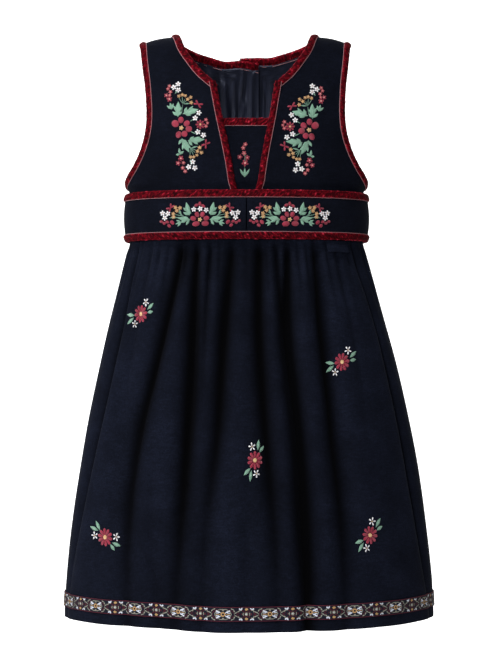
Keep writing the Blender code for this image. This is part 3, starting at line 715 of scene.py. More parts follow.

# %% [markdown]
# ## Velvet bindings
#
# A binding is a bias strip folded over a raw edge and sewn through. Here its section is drawn
# once, as a padded U, and swept along the edge in steps of under a millimetre, so that the crush
# of the pile can be modelled in slanting ridges. The same ridges are stored on the mesh, and the
# velvet's colour reads them as painted sheen on the crush's own mottling.

# %% Section of a binding
# Share of the width from the inner edge, mm beyond that, mm above the cloth's face, and how far
# the crush pushes outwards and upwards. The cloth's back is at -1.5. The last five points are the
# strip's inside, which wraps the cloth.
U_SECTION = [
    (0.00, 0.0, 0.35, 0.0, 0.3), (0.07, 0.0, 1.20, 0.0, 0.8), (0.22, 0.0, 1.75, 0.0, 1.0),
    (0.38, 0.0, 1.95, 0.0, 1.0), (0.54, 0.0, 2.00, 0.0, 1.0), (0.70, 0.0, 1.90, 0.0, 1.0),
    (0.86, 0.0, 1.65, 0.0, 1.0), (1.00, 0.2, 1.35, 0.3, 0.9), (1.00, 0.95, 0.75, 0.8, 0.5),
    (1.00, 1.30, -0.1, 0.9, 0.0), (1.00, 1.30, -1.3, 0.9, 0.0), (1.00, 0.85, -2.3, 0.6, -0.5),
    (1.00, 0.0, -2.75, 0.0, -0.7), (0.70, 0.0, -2.95, 0.0, -0.8), (0.40, 0.0, -2.95, 0.0, -0.8),
    (0.12, 0.0, -2.75, 0.0, -0.5), (0.07, 0.0, -1.95, 0.0, 0.0), (0.50, 0.0, -1.80, 0.0, 0.0),
    (1.00, 0.0, -1.80, 0.0, 0.0), (1.00, 0.3, -0.75, 0.0, 0.0), (1.00, 0.0, 0.30, 0.0, 0.0),
    (0.50, 0.0, 0.28, 0.0, 0.0),
]


# %% Crushed pile
def crush(along, across, slant):
    """Height of the crushed pile, about -1 to 1: slanting streaks of uneven length and width."""
    square, slanted = along + slant * across, across - slant * along
    streak = noise.noise(Vector((square / 1.4, slanted / 4.4, 3.0)))
    wander = 1.1 * noise.noise(Vector((along / 7.0, across / 5.0, 5.0)))
    ridge = math.sin(2 * math.pi * (square / 3.7 + wander))
    tuft = noise.noise(Vector((along / 0.9, across / 0.9, 8.0)))
    blot = noise.noise(Vector((along / 4.5, across / 3.0, 12.0)))
    return 0.25 * ridge + 1.0 * streak + 0.6 * tuft + 0.7 * blot


# %% Even stations
TOO_CLOSE = 0.7


def resampled(stations, step, closed):
    """Even stations along a run of (edge, inner edge, edge normal, inner normal), and its length.

    Stations that lie too close are dropped first, because they would kink the curve."""
    rows = [[c for vector in station for c in vector] for station in zip(*stations)]
    kept = [rows[0]]
    for row in rows[1:]:
        if math.dist(row[:3], kept[-1][:3]) > TOO_CLOSE:
            kept.append(row)
    if closed and math.dist(kept[0][:3], kept[-1][:3]) < TOO_CLOSE:
        kept.pop()
    if closed:
        kept = [kept[-1], *kept, kept[0], kept[1]]
    runs = [max(math.dist(a[:3], b[:3]), 0.01) for a, b in zip(kept, kept[1:])]

    def slope(i):
        if i == 0 or i == len(kept) - 1:
            j = min(i, len(kept) - 2)
            return [(b - a) / runs[j] for a, b in zip(kept[j], kept[j + 1])]
        before, after = runs[i - 1], runs[i]
        return [
            ((b - a) / before * after + (c - b) / after * before) / (before + after)
            for a, b, c in zip(kept[i - 1], kept[i], kept[i + 1])
        ]

    slopes = [slope(i) for i in range(len(kept))]
    spans = range(1, len(kept) - 2) if closed else range(len(kept) - 1)
    total = sum(runs[i] for i in spans)
    count = max(round(total / step), 4)
    found, at, spent = [], spans[0], 0.0
    for k in range(count if closed else count + 1):
        wanted = total * k / count
        while wanted > spent + runs[at] and at < spans[-1]:
            spent += runs[at]
            at += 1
        h = runs[at]
        t = min((wanted - spent) / h, 1.0)
        row = [
            a * (1 + 2 * t) * (1 - t) ** 2 + b * t * t * (3 - 2 * t)
            + m * h * t * (1 - t) ** 2 + n * h * t * t * (t - 1)
            for a, b, m, n in zip(kept[at], kept[at + 1], slopes[at], slopes[at + 1])
        ]
        found.append([Vector(row[i : i + 3]) for i in (0, 3, 6, 9)])
    return found, total


# %% Sweep of a binding
CRUSH_HEIGHT = 0.32
SECTION_ROUND = 44  # mm once round the section, for the pattern across it


def swept(name, stations, length, section, closed, slant, relief=CRUSH_HEIGHT):
    """A tube through the section's points at each station."""
    count, size = len(stations), len(section)
    if closed:
        stations = stations + stations[:1]
    laid = []
    for k, (edge, inner, edge_lean, inner_lean) in enumerate(stations):
        out = (edge - inner).normalized()
        along = length * (k % count) / count
        row, across = [], 0.0
        for share, beyond, above, crush_out, crush_up in section:
            lean = inner_lean.lerp(edge_lean, share).normalized()
            spot = inner.lerp(edge, share) + out * beyond + lean * above
            if row:
                across += (spot - row[-1][2]).length
            high = crush(along, across, slant)
            push = (out * crush_out + lean * crush_up) * relief * high
            # Painted sheen: tone follows the crush's height; rim and inner edge get a painted
            # highlight.
            edge_sheen = 0.2 if crush_out > 0.5 or share < 0.1 else 0.0
            tone = 0.45 + 0.5 * high + edge_sheen if crush_out or crush_up else 0.3
            row.append((spot + push, tone, spot))
        laid.append(row)

    def place(u, v):
        return laid[round(v * (len(laid) - 1))][round(u * size) % size][0]

    piece = grid_piece(name, place, size, len(laid) - 1, (SECTION_ROUND, length))
    pile_sheen = piece.data.attributes.new("pile_sheen", "FLOAT", "POINT")
    for index, value in enumerate(pile_sheen.data):
        value.value = laid[index // (size + 1)][index % (size + 1) % size][1]
    only(piece)
    bpy.ops.object.mode_set(mode="EDIT")
    bpy.ops.mesh.select_all(action="SELECT")
    bpy.ops.mesh.remove_doubles(threshold=0.00001)
    if not closed:
        bpy.ops.mesh.select_all(action="SELECT")
        bpy.ops.mesh.fill_holes(sides=0)
    bpy.ops.mesh.select_all(action="SELECT")
    bpy.ops.mesh.normals_make_consistent(inside=False)
    bpy.ops.object.mode_set(mode="OBJECT")
    bpy.ops.object.shade_smooth_by_angle(angle=math.radians(70))
    return piece


# %% Cord and strip together
# The cord lies against the strip's inner edge. Round the neck the strip's hidden half is the
# wider one and shows at the back, so there it has a cord of its own.
CORD_RADIUS = 0.3
CORD_SECTION = [
    (0.0, -0.25 + CORD_RADIUS * math.sin(a), 0.36 + CORD_RADIUS * math.cos(a), 0.0, 0.0)
    for a in [math.pi * k / 3 for k in range(6)]
]
INNER_CORD_SECTION = [
    (-0.33, beyond, -3.3 - above, 0.0, 0.0) for _, beyond, above, _, _ in CORD_SECTION
]
NECK_SECTION = [
    (
        mix(-0.3, 1.0, share) if above < -1.5 else share,
        beyond, above - 0.35 * (above < -2.0), crush_out, crush_up,
    )
    for share, beyond, above, crush_out, crush_up in U_SECTION
]
STRIP_SHOWN = 16.5  # mm across the folded strip, inside and out


def bind(name, runs, rests, slant, closed=False, both_faces=False, step=0.8, rim=1.0):
    """Makes a velvet binding and the pink cord that edges it. rim below 1 pulls it tighter."""
    stations, length = resampled(runs, step, closed)
    section = [(share, beyond * rim, *rest) for share, beyond, *rest in U_SECTION]
    cords = {"outer": CORD_SECTION}
    if both_faces:
        section, cords["inner"] = NECK_SECTION, INNER_CORD_SECTION
    placed(
        swept(f"{name}_velvet", stations, length, section, closed, slant), velvet, "velvet", [name],
        flat=(STRIP_SHOWN * MM, length * MM), held="folded", rests_on=rests,
    )
    for face, round_section in cords.items():
        cord = swept(f"{name}_cord_{face}", stations, length, round_section, closed, 0.0, 0.0)
        placed(cord, cord_pink)


# %% Armhole, neck and slit bindings
def turned(run, share=0.15):
    """Adds a station close to the first, where a binding's inner edge turns and its rim doesn't."""
    return [run[0], mix(run[0], run[1], share), *run[1:]]


def armhole_runs(hand):
    runs = []
    for name in ("front", "back"):
        edge, edge_lean = panels[name, hand].column(-1)
        inner, inner_lean = panels[name, hand].column(-2)
        under = mix(edge[2], edge[1], BINDING / (ARMHOLE_FOOT - BELT_LINE))
        inner, inner_lean = [under, *inner[2:]], [edge_lean[2], *inner_lean[2:]]
        runs.append([turned(edge[2:]), inner, turned(edge_lean[2:]), inner_lean])
    return [down + up[::-1] for down, up in zip(*runs)]


def neck_runs(hand):
    corner = SLIT_ROWS + 1
    front, back = panels["front", hand], panels["back", hand]
    front_edge, front_lean = front.column(0)
    front_inner, front_inner_lean = front.column(1)
    back_edge, back_lean = back.column(0)
    back_inner, back_inner_lean = back.column(1)
    start = CENTRE_ROWS
    share = min(BINDING / (back_edge[start + 1] - back_edge[start]).length, 0.9)
    return [
        ahead[corner:] + behind[::-1]
        for ahead, behind in (
            (front_edge, turned(back_edge[start:], share)),
            (front_inner, [back_edge[start - 1], *back_inner[start:]]),
            (front_lean, turned(back_lean[start:], share)),
            (front_inner_lean, [back_lean[start - 1], *back_inner_lean[start:]]),
        )
    ]


def slit_runs(hand):
    """The slit's strip runs on a little past the neck's corner and lies over the neck's strip."""
    panel = panels["front", hand]
    rows = 1 + SLIT_ROWS + NECK_ROWS
    heights = [(1 + k / 3) / rows for k in range(3 * SLIT_ROWS - 3)]
    edges, edge_leans = zip(*(panel.lay(panel.between(0.0, v)) for v in heights))
    inners = [panel.lay(panel.between(1 / 9, v))[0] for v in heights]
    tip, lean = (run[SLIT_ROWS + 1] for run in panel.column(0))
    rise, inwards = (tip - edges[-1]).normalized(), inners[-1] - edges[-1]
    climb = ((-14.0, 0.4), (-10.0, 0.9), (-6.5, 1.6), (-3.0, 2.5), (3.2, 2.8))
    added = [tip + rise * up + lean * off for up, off in climb]
    leans = [*edge_leans, *[lean] * len(climb)]
    inners += [spot + inwards + lean * 0.7 for spot in added]
    return [[*edges, *added], inners, leans, leans]


SLANT = 0.85  # mm along the strip for each mm across it
for hand in ("left", "right"):
    cloths = [f"bodice_front_{hand}_cloth", f"bodice_back_{hand}_cloth"]
    bind(f"armhole_binding_{hand}", armhole_runs(hand), cloths, SLANT, closed=True)
    bind(f"neck_binding_{hand}", neck_runs(hand), cloths, SLANT, both_faces=True)
    bind(f"slit_binding_{hand}", slit_runs(hand), cloths[:1], SLANT, rim=0.4)

# %% [markdown]
# ## Plastron
#
# The insert behind the slit is a plain tapering piece of the same wool, with a bound top edge.

# %% Plastron
PLASTRON_DEPTH = CLOTH + 3 * SEAM + 2 * VELVET + 0.1
PLASTRON_TOP = -89.0


def plastron_place(u, z):
    """The point and the outward normal on the insert, which reaches 15 mm in behind each strip."""
    slit = mix(SLIT_FOOT[0], 24.1, (z - BODICE_BOTTOM) / 100.0)
    place = form_place((slit + 15.0) * (2 * u - 1), z)
    lean = form_normal(-1, *place)
    return form_point(-1, *place) - lean * PLASTRON_DEPTH, lean


def plastron_cloth(u, v):
    point, lean = plastron_place(u, mix(BODICE_BOTTOM, PLASTRON_TOP, v))
    return point + lean * uneven(point, 0.25) * smooth((1 - v) * 8 - 0.8)


piece = grid_piece("plastron_cloth", plastron_cloth, 36, 48, (66, 96), Vector((0, -1, 0)))
# Painted shade: the whole piece is painted darker.
shade_whole_piece(piece)
thick_cloth(piece, CLOTH)
placed(
    piece, wool, "wool_cloth", ["plastron"],
    flat=(0.080, 0.096), held="stretched", rests_on=["bodice_front_left_cloth"], area=0.0060,
)
rim, rim_lean = zip(*(plastron_place(k / 8, PLASTRON_TOP) for k in range(9)))
low = PLASTRON_TOP - BINDING - 0.7
below, below_lean = zip(*(plastron_place(k / 8, low) for k in range(9)))
bind("plastron_binding", [rim, below, rim_lean, below_lean], ["plastron_cloth"], -SLANT)

# %% [markdown]
# ## Belt
#
# The belt is a stiffened band with a seam at the centre front and velvet over both edges. It
# stands a little proud in the middle of its width and has faint upright creases beside the seam.

# %% Belt
BELT_TOP, BELT_BOTTOM, BELT_BULGE = -160.0, -210.0, 2.6
BELT_CREASES = [
    (10, -170, 14, -202, 3.0, 0.35), (22, -168, 19, -204, 4.0, 0.3),
    (-28, -172, -25, -200, 4.0, 0.25), (52, -170, 50, -200, 5.0, 0.25),
    (86, -172, 90, -202, 4.0, 0.3), (-90, -170, -95, -202, 5.0, 0.3),
]


def ring_point(angle, z, out):
    """A point on the belt's oval. The angle runs round from the centre front."""
    width = HALF_WIDTH - BELT_PINCH + out
    depth = (FRONT_DEPTH if math.cos(angle) > 0 else BACK_DEPTH) - BELT_PINCH + out
    x = width * signed_power(math.sin(angle), 2 / ROUNDNESS)
    return Vector((x, -depth * signed_power(math.cos(angle), 2 / ROUNDNESS), z))


def ring_normal(angle):
    across = ring_point(angle + NUDGE, 0, 0) - ring_point(angle - NUDGE, 0, 0)
    return Vector((across.y, -across.x, 0)).normalized()


def belt_point(angle, z):
    rise = (z - BELT_BOTTOM) / (BELT_TOP - BELT_BOTTOM)
    bulge = BELT_BULGE * math.sin(math.pi * rise)
    return ring_point(angle, z, EASE + VELVET + SEAM + CLOTH + bulge)


BELT_EDGE = SEAM + VELVET
gap = SEAM / 2 / FRONT_DEPTH
halves = {"left": (-math.pi + gap, -gap), "right": (gap, math.pi - gap)}
for hand, (start, end) in halves.items():

    def place(u, v):
        angle, z = mix(start, end, u), mix(BELT_BOTTOM + BELT_EDGE, BELT_TOP - BELT_EDGE, v)
        point = belt_point(angle, z)
        hold = smooth(min(v, 1 - v) * 47 / 8 - 0.8)
        creases = crease_depth(point.x, z, BELT_CREASES) if point.y < 0 else 0.0
        return point + ring_normal(angle) * (uneven(point, 0.3) - creases) * hold

    piece = grid_piece(f"belt_{hand}_cloth", place, 170, 26, (322, 47))
    # Painted shade: the whole piece is painted darker.
    shade_whole_piece(piece)
    thick_cloth(piece, CLOTH)
    placed(
        piece, wool, "wool_cloth", [f"belt_{hand}"],
        flat=(0.330, 0.047), held="stretched", rests_on=[f"bodice_front_{hand}_cloth"],
    )

turn = [2 * math.pi * k / 72 - math.pi for k in range(72)]
lean = [ring_normal(a) for a in turn]
for edge, at, inside in (
    ("bottom", BELT_BOTTOM + BELT_EDGE + 0.7, BELT_BOTTOM + BELT_EDGE + BINDING + 0.9),
    ("top", BELT_TOP - BELT_EDGE, BELT_TOP - BELT_EDGE - BINDING - 0.4),
):
    rim, inner = [belt_point(a, at) for a in turn], [belt_point(a, inside) for a in turn]
    cloths = ["belt_left_cloth", "belt_right_cloth"]
    bind(f"belt_binding_{edge}", [rim, inner, lean, lean], cloths, -0.9, closed=True, step=0.95)

# %% [markdown]
# ## Skirt
#
# Three widths of wool are gathered into the belt and fall in uneven folds. A simulation would put
# the folds where it likes. Here each fold is a valley with its own places and depths on the way
# down, so the folds fall where they fall on this skirt.

# %% Folds
WAIST_Z, SKIRT_TOP, HEM_Z = -212.0, -185.3, -593.5
HEM_HALF_WIDTH, HEM_HALF_DEPTH, HEM_ROUNDNESS = 190.4, 124.0, 2.1
FLARE = 1.6  # 1 is a straight cone, more spreads out faster below the belt
GATHER_END, GATHER_DEPTH, GATHER_WIDTH = -285.0, 3.4, 1.5
# How high the hem's line lies at some angles round from the centre front.
HEM_LIFT = [
    (-180, 0), (-110, 0), (-90, 0.4), (-60, 1.8), (-33, 1.5), (-8, -1.2), (10, -0.9), (24, -0.6),
    (45, 0.8), (65, 1.6), (90, 0.8), (180, 0),
]
# Where each fold lies in degrees round from the centre front, and how deep it is, both at even
# steps from the waist to the hem. Then its width in degrees at the waist and at the hem, and how
# much narrower its side towards the centre front is.
FOLDS = [
    ((-64, -63, -66, -71, -77), (7, 12, 13, 8, 1.5), 3.2, 3.6, 0.35),
    ((-50, -49, -48), (5, 1, 0), 2.4, 3.0, 1.0),
    ((-30, -34, -40, -41, -39), (11, 12, 11, 9, 6), 3.2, 4.6, 1.0),
    ((-37, -36, -33, -31, -27), (3, 0, 1, 3, 4), 2.0, 4.0, 1.0),
    ((-21.4, -19.8, -19.5, -20.4, -21.4), (11, 14, 13, 9, 5), 3.0, 3.8, 0.9),
    ((-14.5, -15, -15), (7, 0, 0), 1.6, 2.0, 1.0),
    ((-4.9, -7.6, -9.1, -12.0, -13.0), (10, 12, 10, 6, 4), 2.6, 3.8, 1.0),
    ((4.2, 3.4, 4.6, 7.0, 8.2), (11, 12, 11, 8, 4), 2.6, 3.6, 1.0),
    ((11.4, 13.2, 14), (8, 3, 0), 1.6, 2.0, 1.0),
    ((0, 0, 0, -0.5, -0.5), (0, 0, 0, 3, 3), 2.0, 3.6, 1.0),
    ((17.0, 13.4, 14.9, 15.9, 16.9), (10, 14, 14, 14, 11), 2.8, 3.6, 0.6),
    ((31.5, 28.3, 27.9, 29.4, 29.8), (11, 12, 11, 9, 5), 3.0, 4.4, 0.8),
    ((62, 66, 67, 69, 75), (8, 12, 12, 8, 1.5), 3.0, 3.6, 0.4),
    ((46, 44, 42), (4, 1, 0), 2.4, 3.0, 1.0), ((98, 104, 106), (5, 8, 6), 3.0, 5.0, 1.0),
    ((112, 118, 121), (6, 7, 5), 3.0, 5.5, 1.0), ((128, 132, 134), (7, 9, 8), 2.8, 5.0, 0.7),
    ((143, 147, 148), (6, 6, 4), 2.8, 4.5, 1.0), ((158, 160, 161), (8, 10, 9), 3.0, 5.5, 0.7),
    ((173, 174, 175), (7, 6, 3.5), 2.8, 4.5, 1.0), ((-97, -103, -105), (5, 7, 6), 3.0, 5.0, 1.0),
    ((-111, -117, -119), (6, 7, 5), 3.0, 5.0, 1.0),
    ((-126, -131, -134), (7, 9, 8.5), 2.8, 5.5, 0.7),
    ((-142, -145, -147), (6, 5, 3.5), 2.8, 4.5, 1.0),
    ((-156, -158, -160), (8, 9, 9), 3.0, 5.5, 0.7),
    ((-170, -172, -173), (7, 6, 4.5), 2.8, 4.5, 1.0),
]
GATHERS = (-58, -43, -27, -10, 0, 7.5, 22, 26.5, 39, 54, 60, 74, 90, 105, 120, 136, 151, 166)
GATHERS += (180, -77, -90, -104, -118.5, -134, -149, -163)
FLOOR = 0.25  # radius of a fold's floor, in fold widths
BELT_HOLD = 0.4  # share of the depth that is left under the belt
FOLDS_AT = {}
print(len(FOLDS), "folds and", len(GATHERS), "gathers")


# %% Depth of the folds
def fall_of(z):
    """The share of the way from the waist to the hem."""
    return min(max((WAIST_Z - z) / (WAIST_Z - HEM_Z), 0.0), 1.0)


def folds_at(z):
    """Every fold's place, depth, width and sharpness at one height."""
    if z not in FOLDS_AT:
        fall, found = fall_of(z), []
        for places, depths, waist_wide, hem_wide, sharp in FOLDS:
            at, depth = curve_through(list(zip(places, depths)), fall)
            found.append((at, depth, mix(waist_wide, hem_wide, fall), sharp))
        fade = 1 - smooth((WAIST_Z - z) / (WAIST_Z - GATHER_END))
        found += [(at, GATHER_DEPTH * fade, GATHER_WIDTH, 1.0) for at in GATHERS if fade > 0]
        FOLDS_AT[z] = found
    return FOLDS_AT[z]


def fold_depth(angle, z):
    """How deep the cloth lies in its folds. Each has a rounded floor and straight flanks."""
    total = 0.0
    for at, depth, width, sharp in folds_at(z):
        away = (angle - at + 180) % 360 - 180
        share = away / (width * sharp if away * at < 0 else width)
        if abs(share) < 6 and depth > 0:
            total += depth * math.exp(FLOOR - math.sqrt(share * share + FLOOR * FLOOR))
    return total * mix(BELT_HOLD, 1.0, smooth((WAIST_Z + 6 - z) / 24))


def hem_lift(angle):
    wrapped = (angle + 180) % 360 - 180
    for (start, low), (end, high) in zip(HEM_LIFT, HEM_LIFT[1:]):
        if wrapped <= end:
            return mix(low, high, smooth((wrapped - start) / (end - start)))
    return 0.0


# %% Points and normals on the skirt
def skirt_place(angle, z, sunk=0.0):
    """A point on the skirt's flared oval, or sunk mm inside it."""
    turn, fall = math.radians(angle), fall_of(z)
    spread = 1 - (1 - fall) ** FLARE
    power = 2 / mix(ROUNDNESS, HEM_ROUNDNESS, fall)
    waist_depth = (FRONT_DEPTH if math.cos(turn) > 0 else BACK_DEPTH) - BELT_PINCH
    width = mix(HALF_WIDTH - BELT_PINCH, HEM_HALF_WIDTH, spread)
    depth = mix(waist_depth, HEM_HALF_DEPTH, spread)
    x = width * signed_power(math.sin(turn), power)
    y = -depth * signed_power(math.cos(turn), power)
    lean = 2 / power - 1
    out = Vector((signed_power(x / width, lean) / width, signed_power(y / depth, lean) / depth, 0))
    point = Vector((x, y, z)) - out.normalized() * sunk
    return point + Vector((2.6 * smooth(fall * 2), 0, hem_lift(angle) * fall * fall))


def skirt_point(angle, z):
    return skirt_place(angle, z, fold_depth(angle, z))


def skirt_normal(angle, z):
    across = skirt_point(angle + 0.4, z) - skirt_point(angle - 0.4, z)
    down = skirt_point(angle, z - 0.5) - skirt_point(angle, z + 0.5)
    return down.cross(across).normalized()


# %% [markdown]
# The three widths are laid first on those folds. The small life of the cloth comes on top, along
# the cloth's own normals: fine gathers that die out below the belt, a soft unevenness as wide as
# a hand, and a few slanting creases where one fold leans on the next.

# %% Small life of the cloth
SKIRT_CREASES = [
    (-70, -442, -48, -462, 4.5, 1.3), (-72, -486, -48, -464, 4.5, 1.2),
    (118, -520, 100, -556, 7.0, 1.3), (-92, -330, -78, -420, 7.0, 0.8),
    (22, -240, 30, -330, 5.0, 0.9), (-20, -236, -24, -320, 5.0, 0.8),
    (72, -236, 84, -330, 6.0, 0.9), (96, -400, 110, -500, 9.0, 1.0),
    (-118, -380, -136, -470, 9.0, 0.9), (60, -420, 78, -520, 8.0, 0.8),
    (0, -360, 6, -460, 9.0, 0.7), (-110, -240, -128, -330, 5.0, 0.9),
]


def small_life(angle, point):
    """How far the cloth lies above its folds' smooth shape, in mm."""
    below = smooth((WAIST_Z - point.z) / 10.0)
    near_belt = 1 - smooth((WAIST_Z - point.z) / 95.0)
    wander = 2.0 * ripple(point.x, point.y, point.z, 60.0)
    gathers = math.sin(math.radians((angle + wander) * 62.0)) * 0.55 * near_belt
    gathers += math.sin(math.radians((angle - wander) * 37.0) + 1.0) * 0.35 * near_belt
    ribbon = 1 - smooth((point.z + 552.0) / -12.0)
    soft = 0.9 * ripple(point.x, point.y * 1.3, point.z * 0.6, 46.0)
    creases = crease_depth(point.x, point.z, SKIRT_CREASES) if point.y < 0 else 0.0
    return (gathers + soft * ribbon - creases * ribbon) * below


# %% Even steps round the skirt
def even_angles(start, end, line_point):
    """Walks along a line round the skirt. Gives its length, and a rule from a share of that length
    to the angle there."""
    angles = [mix(start, end, k / FINE_TURNS) for k in range(FINE_TURNS + 1)]
    line = [line_point(angle) for angle in angles]
    runs = [0.0]
    for before, after in zip(line, line[1:]):
        runs.append(runs[-1] + (after - before).length)

    def angle_of(share):
        wanted = share * runs[-1]
        at = min(max(bisect.bisect_left(runs, wanted), 1), FINE_TURNS)
        left = (wanted - runs[at - 1]) / (runs[at] - runs[at - 1])
        return mix(angles[at - 1], angles[at], left)

    return runs[-1], angle_of


# %% Skirt panels
FINE_TURNS, PANEL_ROWS = 720, 112
WIDTHS = {
    "skirt_front": (-90, 90, 324), "skirt_back_right": (90, 180, 132),
    "skirt_back_left": (180, 270, 132),
}
_, front_angle = even_angles(-90, 90, lambda angle: skirt_place(angle, -400.0))


def angle_at(name, share):
    """The angle of a column. The front's columns lie evenly along the cloth."""
    start, end, _ = WIDTHS[name]
    return front_angle(share) if name == "skirt_front" else mix(start, end, share)


for name, (start, end, columns) in WIDTHS.items():
    piece = grid_piece(
        f"{name}_cloth",
        lambda u, v: skirt_point(angle_at(name, u), mix(HEM_Z, SKIRT_TOP, v)),
        columns, PANEL_ROWS, (columns * 2.3, 412),
    )
    vertices = piece.data.vertices
    normals = [vertex.normal.copy() for vertex in vertices]
    # Painted shade: each point is painted darker the deeper it lies in a fold.
    painted_shade = piece.data.attributes.new("painted_shade", "FLOAT", "POINT")
    for index, (vertex, normal) in enumerate(zip(vertices, normals)):
        share, row = index % (columns + 1) / columns, index // (columns + 1)
        angle, hold = angle_at(name, share), smooth(min(share, 1 - share) * 90)
        vertex.co += normal * small_life(angle, vertex.co / MM) * hold * MM
        sunk = fold_depth(angle, mix(HEM_Z, SKIRT_TOP, row / PANEL_ROWS))
        painted_shade.data[index].value = smooth((sunk - 1.0) / 11.0)
    thick_cloth(piece, SKIRT_CLOTH)
    girth = (end - start) / 180
    placed(
        piece, wool, "wool_cloth", [name],
        flat=(0.66 * girth, 0.420), held="gathered",
        rests_on=["belt_left_cloth", "belt_right_cloth"], area=0.185 * girth,
    )

# %% [markdown]
# ## Woven ribbon
#
# The ribbon is a jacquard: its figures are made of coloured threads that come up where the weaver
# wants them. Half of one repeat's upper half is drawn here as a few ovals and mirrored both ways.
# Every thread crossing is then looked up in that drawing, like a weaver's point paper.

# %% Ribbon figure
RIBBON_TOP, RIBBON_BOTTOM, RIBBON_WIDTH, REPEAT = -568.4, -582.2, 13.8, 45.5
RIBBON_CLOTH, RIBBON_EDGE = 1.0, 6.4  # thickness, and where the plain edge starts from the middle
THREADS = {
    "navy": "#10131f", "burgundy": "#4a1722", "silver": "#8a887c", "gold": "#a4835a",
    "white": "#c4c9d6",
}
# Thread colour, then the oval's centre along and above the middle, its half sizes, and its turn.
# The medallion lies at 0 and the four-tulip flower half a repeat on.
FIGURE = [
    ("silver", 0.0, 0.0, 8.0, 5.3, 0), ("navy", 0.0, 0.0, 7.4, 4.75, 0),
    ("burgundy", 6.9, 3.9, 1.5, 0.4, -40), ("gold", 0.0, 0.0, 2.5, 2.1, 0),
    ("navy", 0.0, 0.0, 1.2, 1.1, 0), ("gold", 4.8, 0.0, 2.1, 0.6, 0),
    ("white", 4.6, 2.5, 2.6, 0.7, 26), ("white", 5.6, 1.3, 1.3, 0.4, 10),
    ("silver", 0.0, 3.7, 0.8, 0.7, 0), ("silver", 8.9, 4.9, 1.7, 0.4, -22),
    ("silver", 10.6, 3.5, 1.4, 0.4, -58), ("silver", 12.8, 1.7, 2.3, 0.4, 30),
    ("burgundy", 9.4, 2.2, 1.9, 0.35, -62), ("burgundy", 14.2, 0.6, 1.7, 0.35, 24),
    ("silver", 15.4, 2.9, 1.2, 0.4, 62), ("white", 16.2, 4.9, 0.7, 1.2, 26),
    ("white", 18.0, 4.9, 0.7, 1.2, -26), ("silver", 17.1, 3.7, 0.7, 0.6, 0),
    ("burgundy", 19.6, 2.9, 2.2, 0.4, -42), ("silver", 19.4, 0.0, 0.5, 1.7, 0),
    ("burgundy", 17.8, 0.0, 0.4, 1.2, 0), ("gold", 22.75, 4.6, 1.7, 1.1, 0),
    ("silver", 22.75, 0.0, 1.5, 1.4, 0), ("white", 22.75, 0.0, 0.6, 0.6, 0),
    ("burgundy", 21.4, 1.9, 1.4, 0.35, 40),
]


def thread_at(along, above):
    """The colour of the thread that lies on top at a place in mm."""
    along = abs((along + REPEAT / 2) % REPEAT - REPEAT / 2)
    above = abs(above)
    found = "navy"
    for colour, x, y, long, short, turn in FIGURE:
        cos, sin = math.cos(math.radians(turn)), math.sin(math.radians(turn))
        for side in (1, -1):
            p, q = along - x, above - y * side
            if turn and side < 0:
                sin = -sin
            a, b = p * cos + q * sin, q * cos - p * sin
            if (a / long) ** 2 + (b / short) ** 2 <= 1.0:
                found = colour
    return "burgundy" if above > RIBBON_EDGE else found


print(len(FIGURE), "ovals in the figure")


# %% Ribbon
# Ribs and picks are 2 mm apart, coarser than the real ones, so that they show.
ribbon_weave, tree, shader = finish(
    "woven jacquard ribbon", Roughness=0.75, Specular_IOR_Level=0.1, Sheen_Weight=0.02
)
threads = node(tree, "Attribute", attribute_name="thread")
where = node(tree, "TexCoord").outputs["UV"]
ribs = node(tree, "TexWave", {"Vector": where}, bands_direction="X", Scale=480.0)
picks = node(tree, "TexWave", {"Vector": where}, bands_direction="Y", Scale=480.0)
weave = node(tree, "Math", {0: ribs.outputs["Fac"], 1: picks.outputs["Fac"]}, operation="MULTIPLY")
tree.links.new(threads.outputs["Color"], shader.inputs["Base Color"])
bump(tree, shader, weave.outputs[0], 0.0002, 0.7)

CELL, CELL_ROWS = 0.65, 23  # a thread crossing's length, and how many lie across the ribbon
travelled = 1.7  # where in the repeat the first length starts
for name, (start, end, _) in sorted(WIDTHS.items(), key=lambda item: item[1][0]):
    middle = (RIBBON_TOP + RIBBON_BOTTOM) / 2
    length, ribbon_angle = even_angles(start, end, lambda angle: skirt_point(angle, middle))
    columns = round(length / CELL)
    edges = []
    for k in range(columns + 1):
        angle = ribbon_angle(k / columns)
        edges.append([
            skirt_point(angle, z) + skirt_normal(angle, z) * (SEAM + RIBBON_CLOTH)
            for z in (RIBBON_BOTTOM, RIBBON_TOP)
        ])
    piece = grid_piece(
        f"hem_ribbon{name[5:]}_weave", lambda u, v: mix(*edges[round(u * columns)], v),
        columns, CELL_ROWS, (length, RIBBON_WIDTH),
    )
    shade = piece.data.color_attributes.new("thread", "FLOAT_COLOR", "CORNER")
    for face in piece.data.polygons:
        column, row = face.index % columns, face.index // columns
        above = ((row + 0.5) / CELL_ROWS - 0.5) * RIBBON_WIDTH
        colour = linear(THREADS[thread_at(travelled + (column + 0.5) * CELL, above)])
        for corner in face.loop_indices:
            shade.data[corner].color = colour
    thick_cloth(piece, RIBBON_CLOTH)
    placed(
        piece, ribbon_weave, "ribbon", [f"hem_ribbon{name[5:]}"],
        flat=(length * MM, RIBBON_WIDTH * MM), held="laid", rests_on=[f"{name}_cloth"],
    )
    travelled += length

# %% [markdown]
# ## Tab and buttons
#
# A short end of cloth hangs from under the belt at the right. The back closes with three buttons.

# %% Tab
TAB_LEFT, TAB_RIGHT, TAB_BOTTOM, TAB_TOP = 79.0, 99.5, -221.3, -210.3


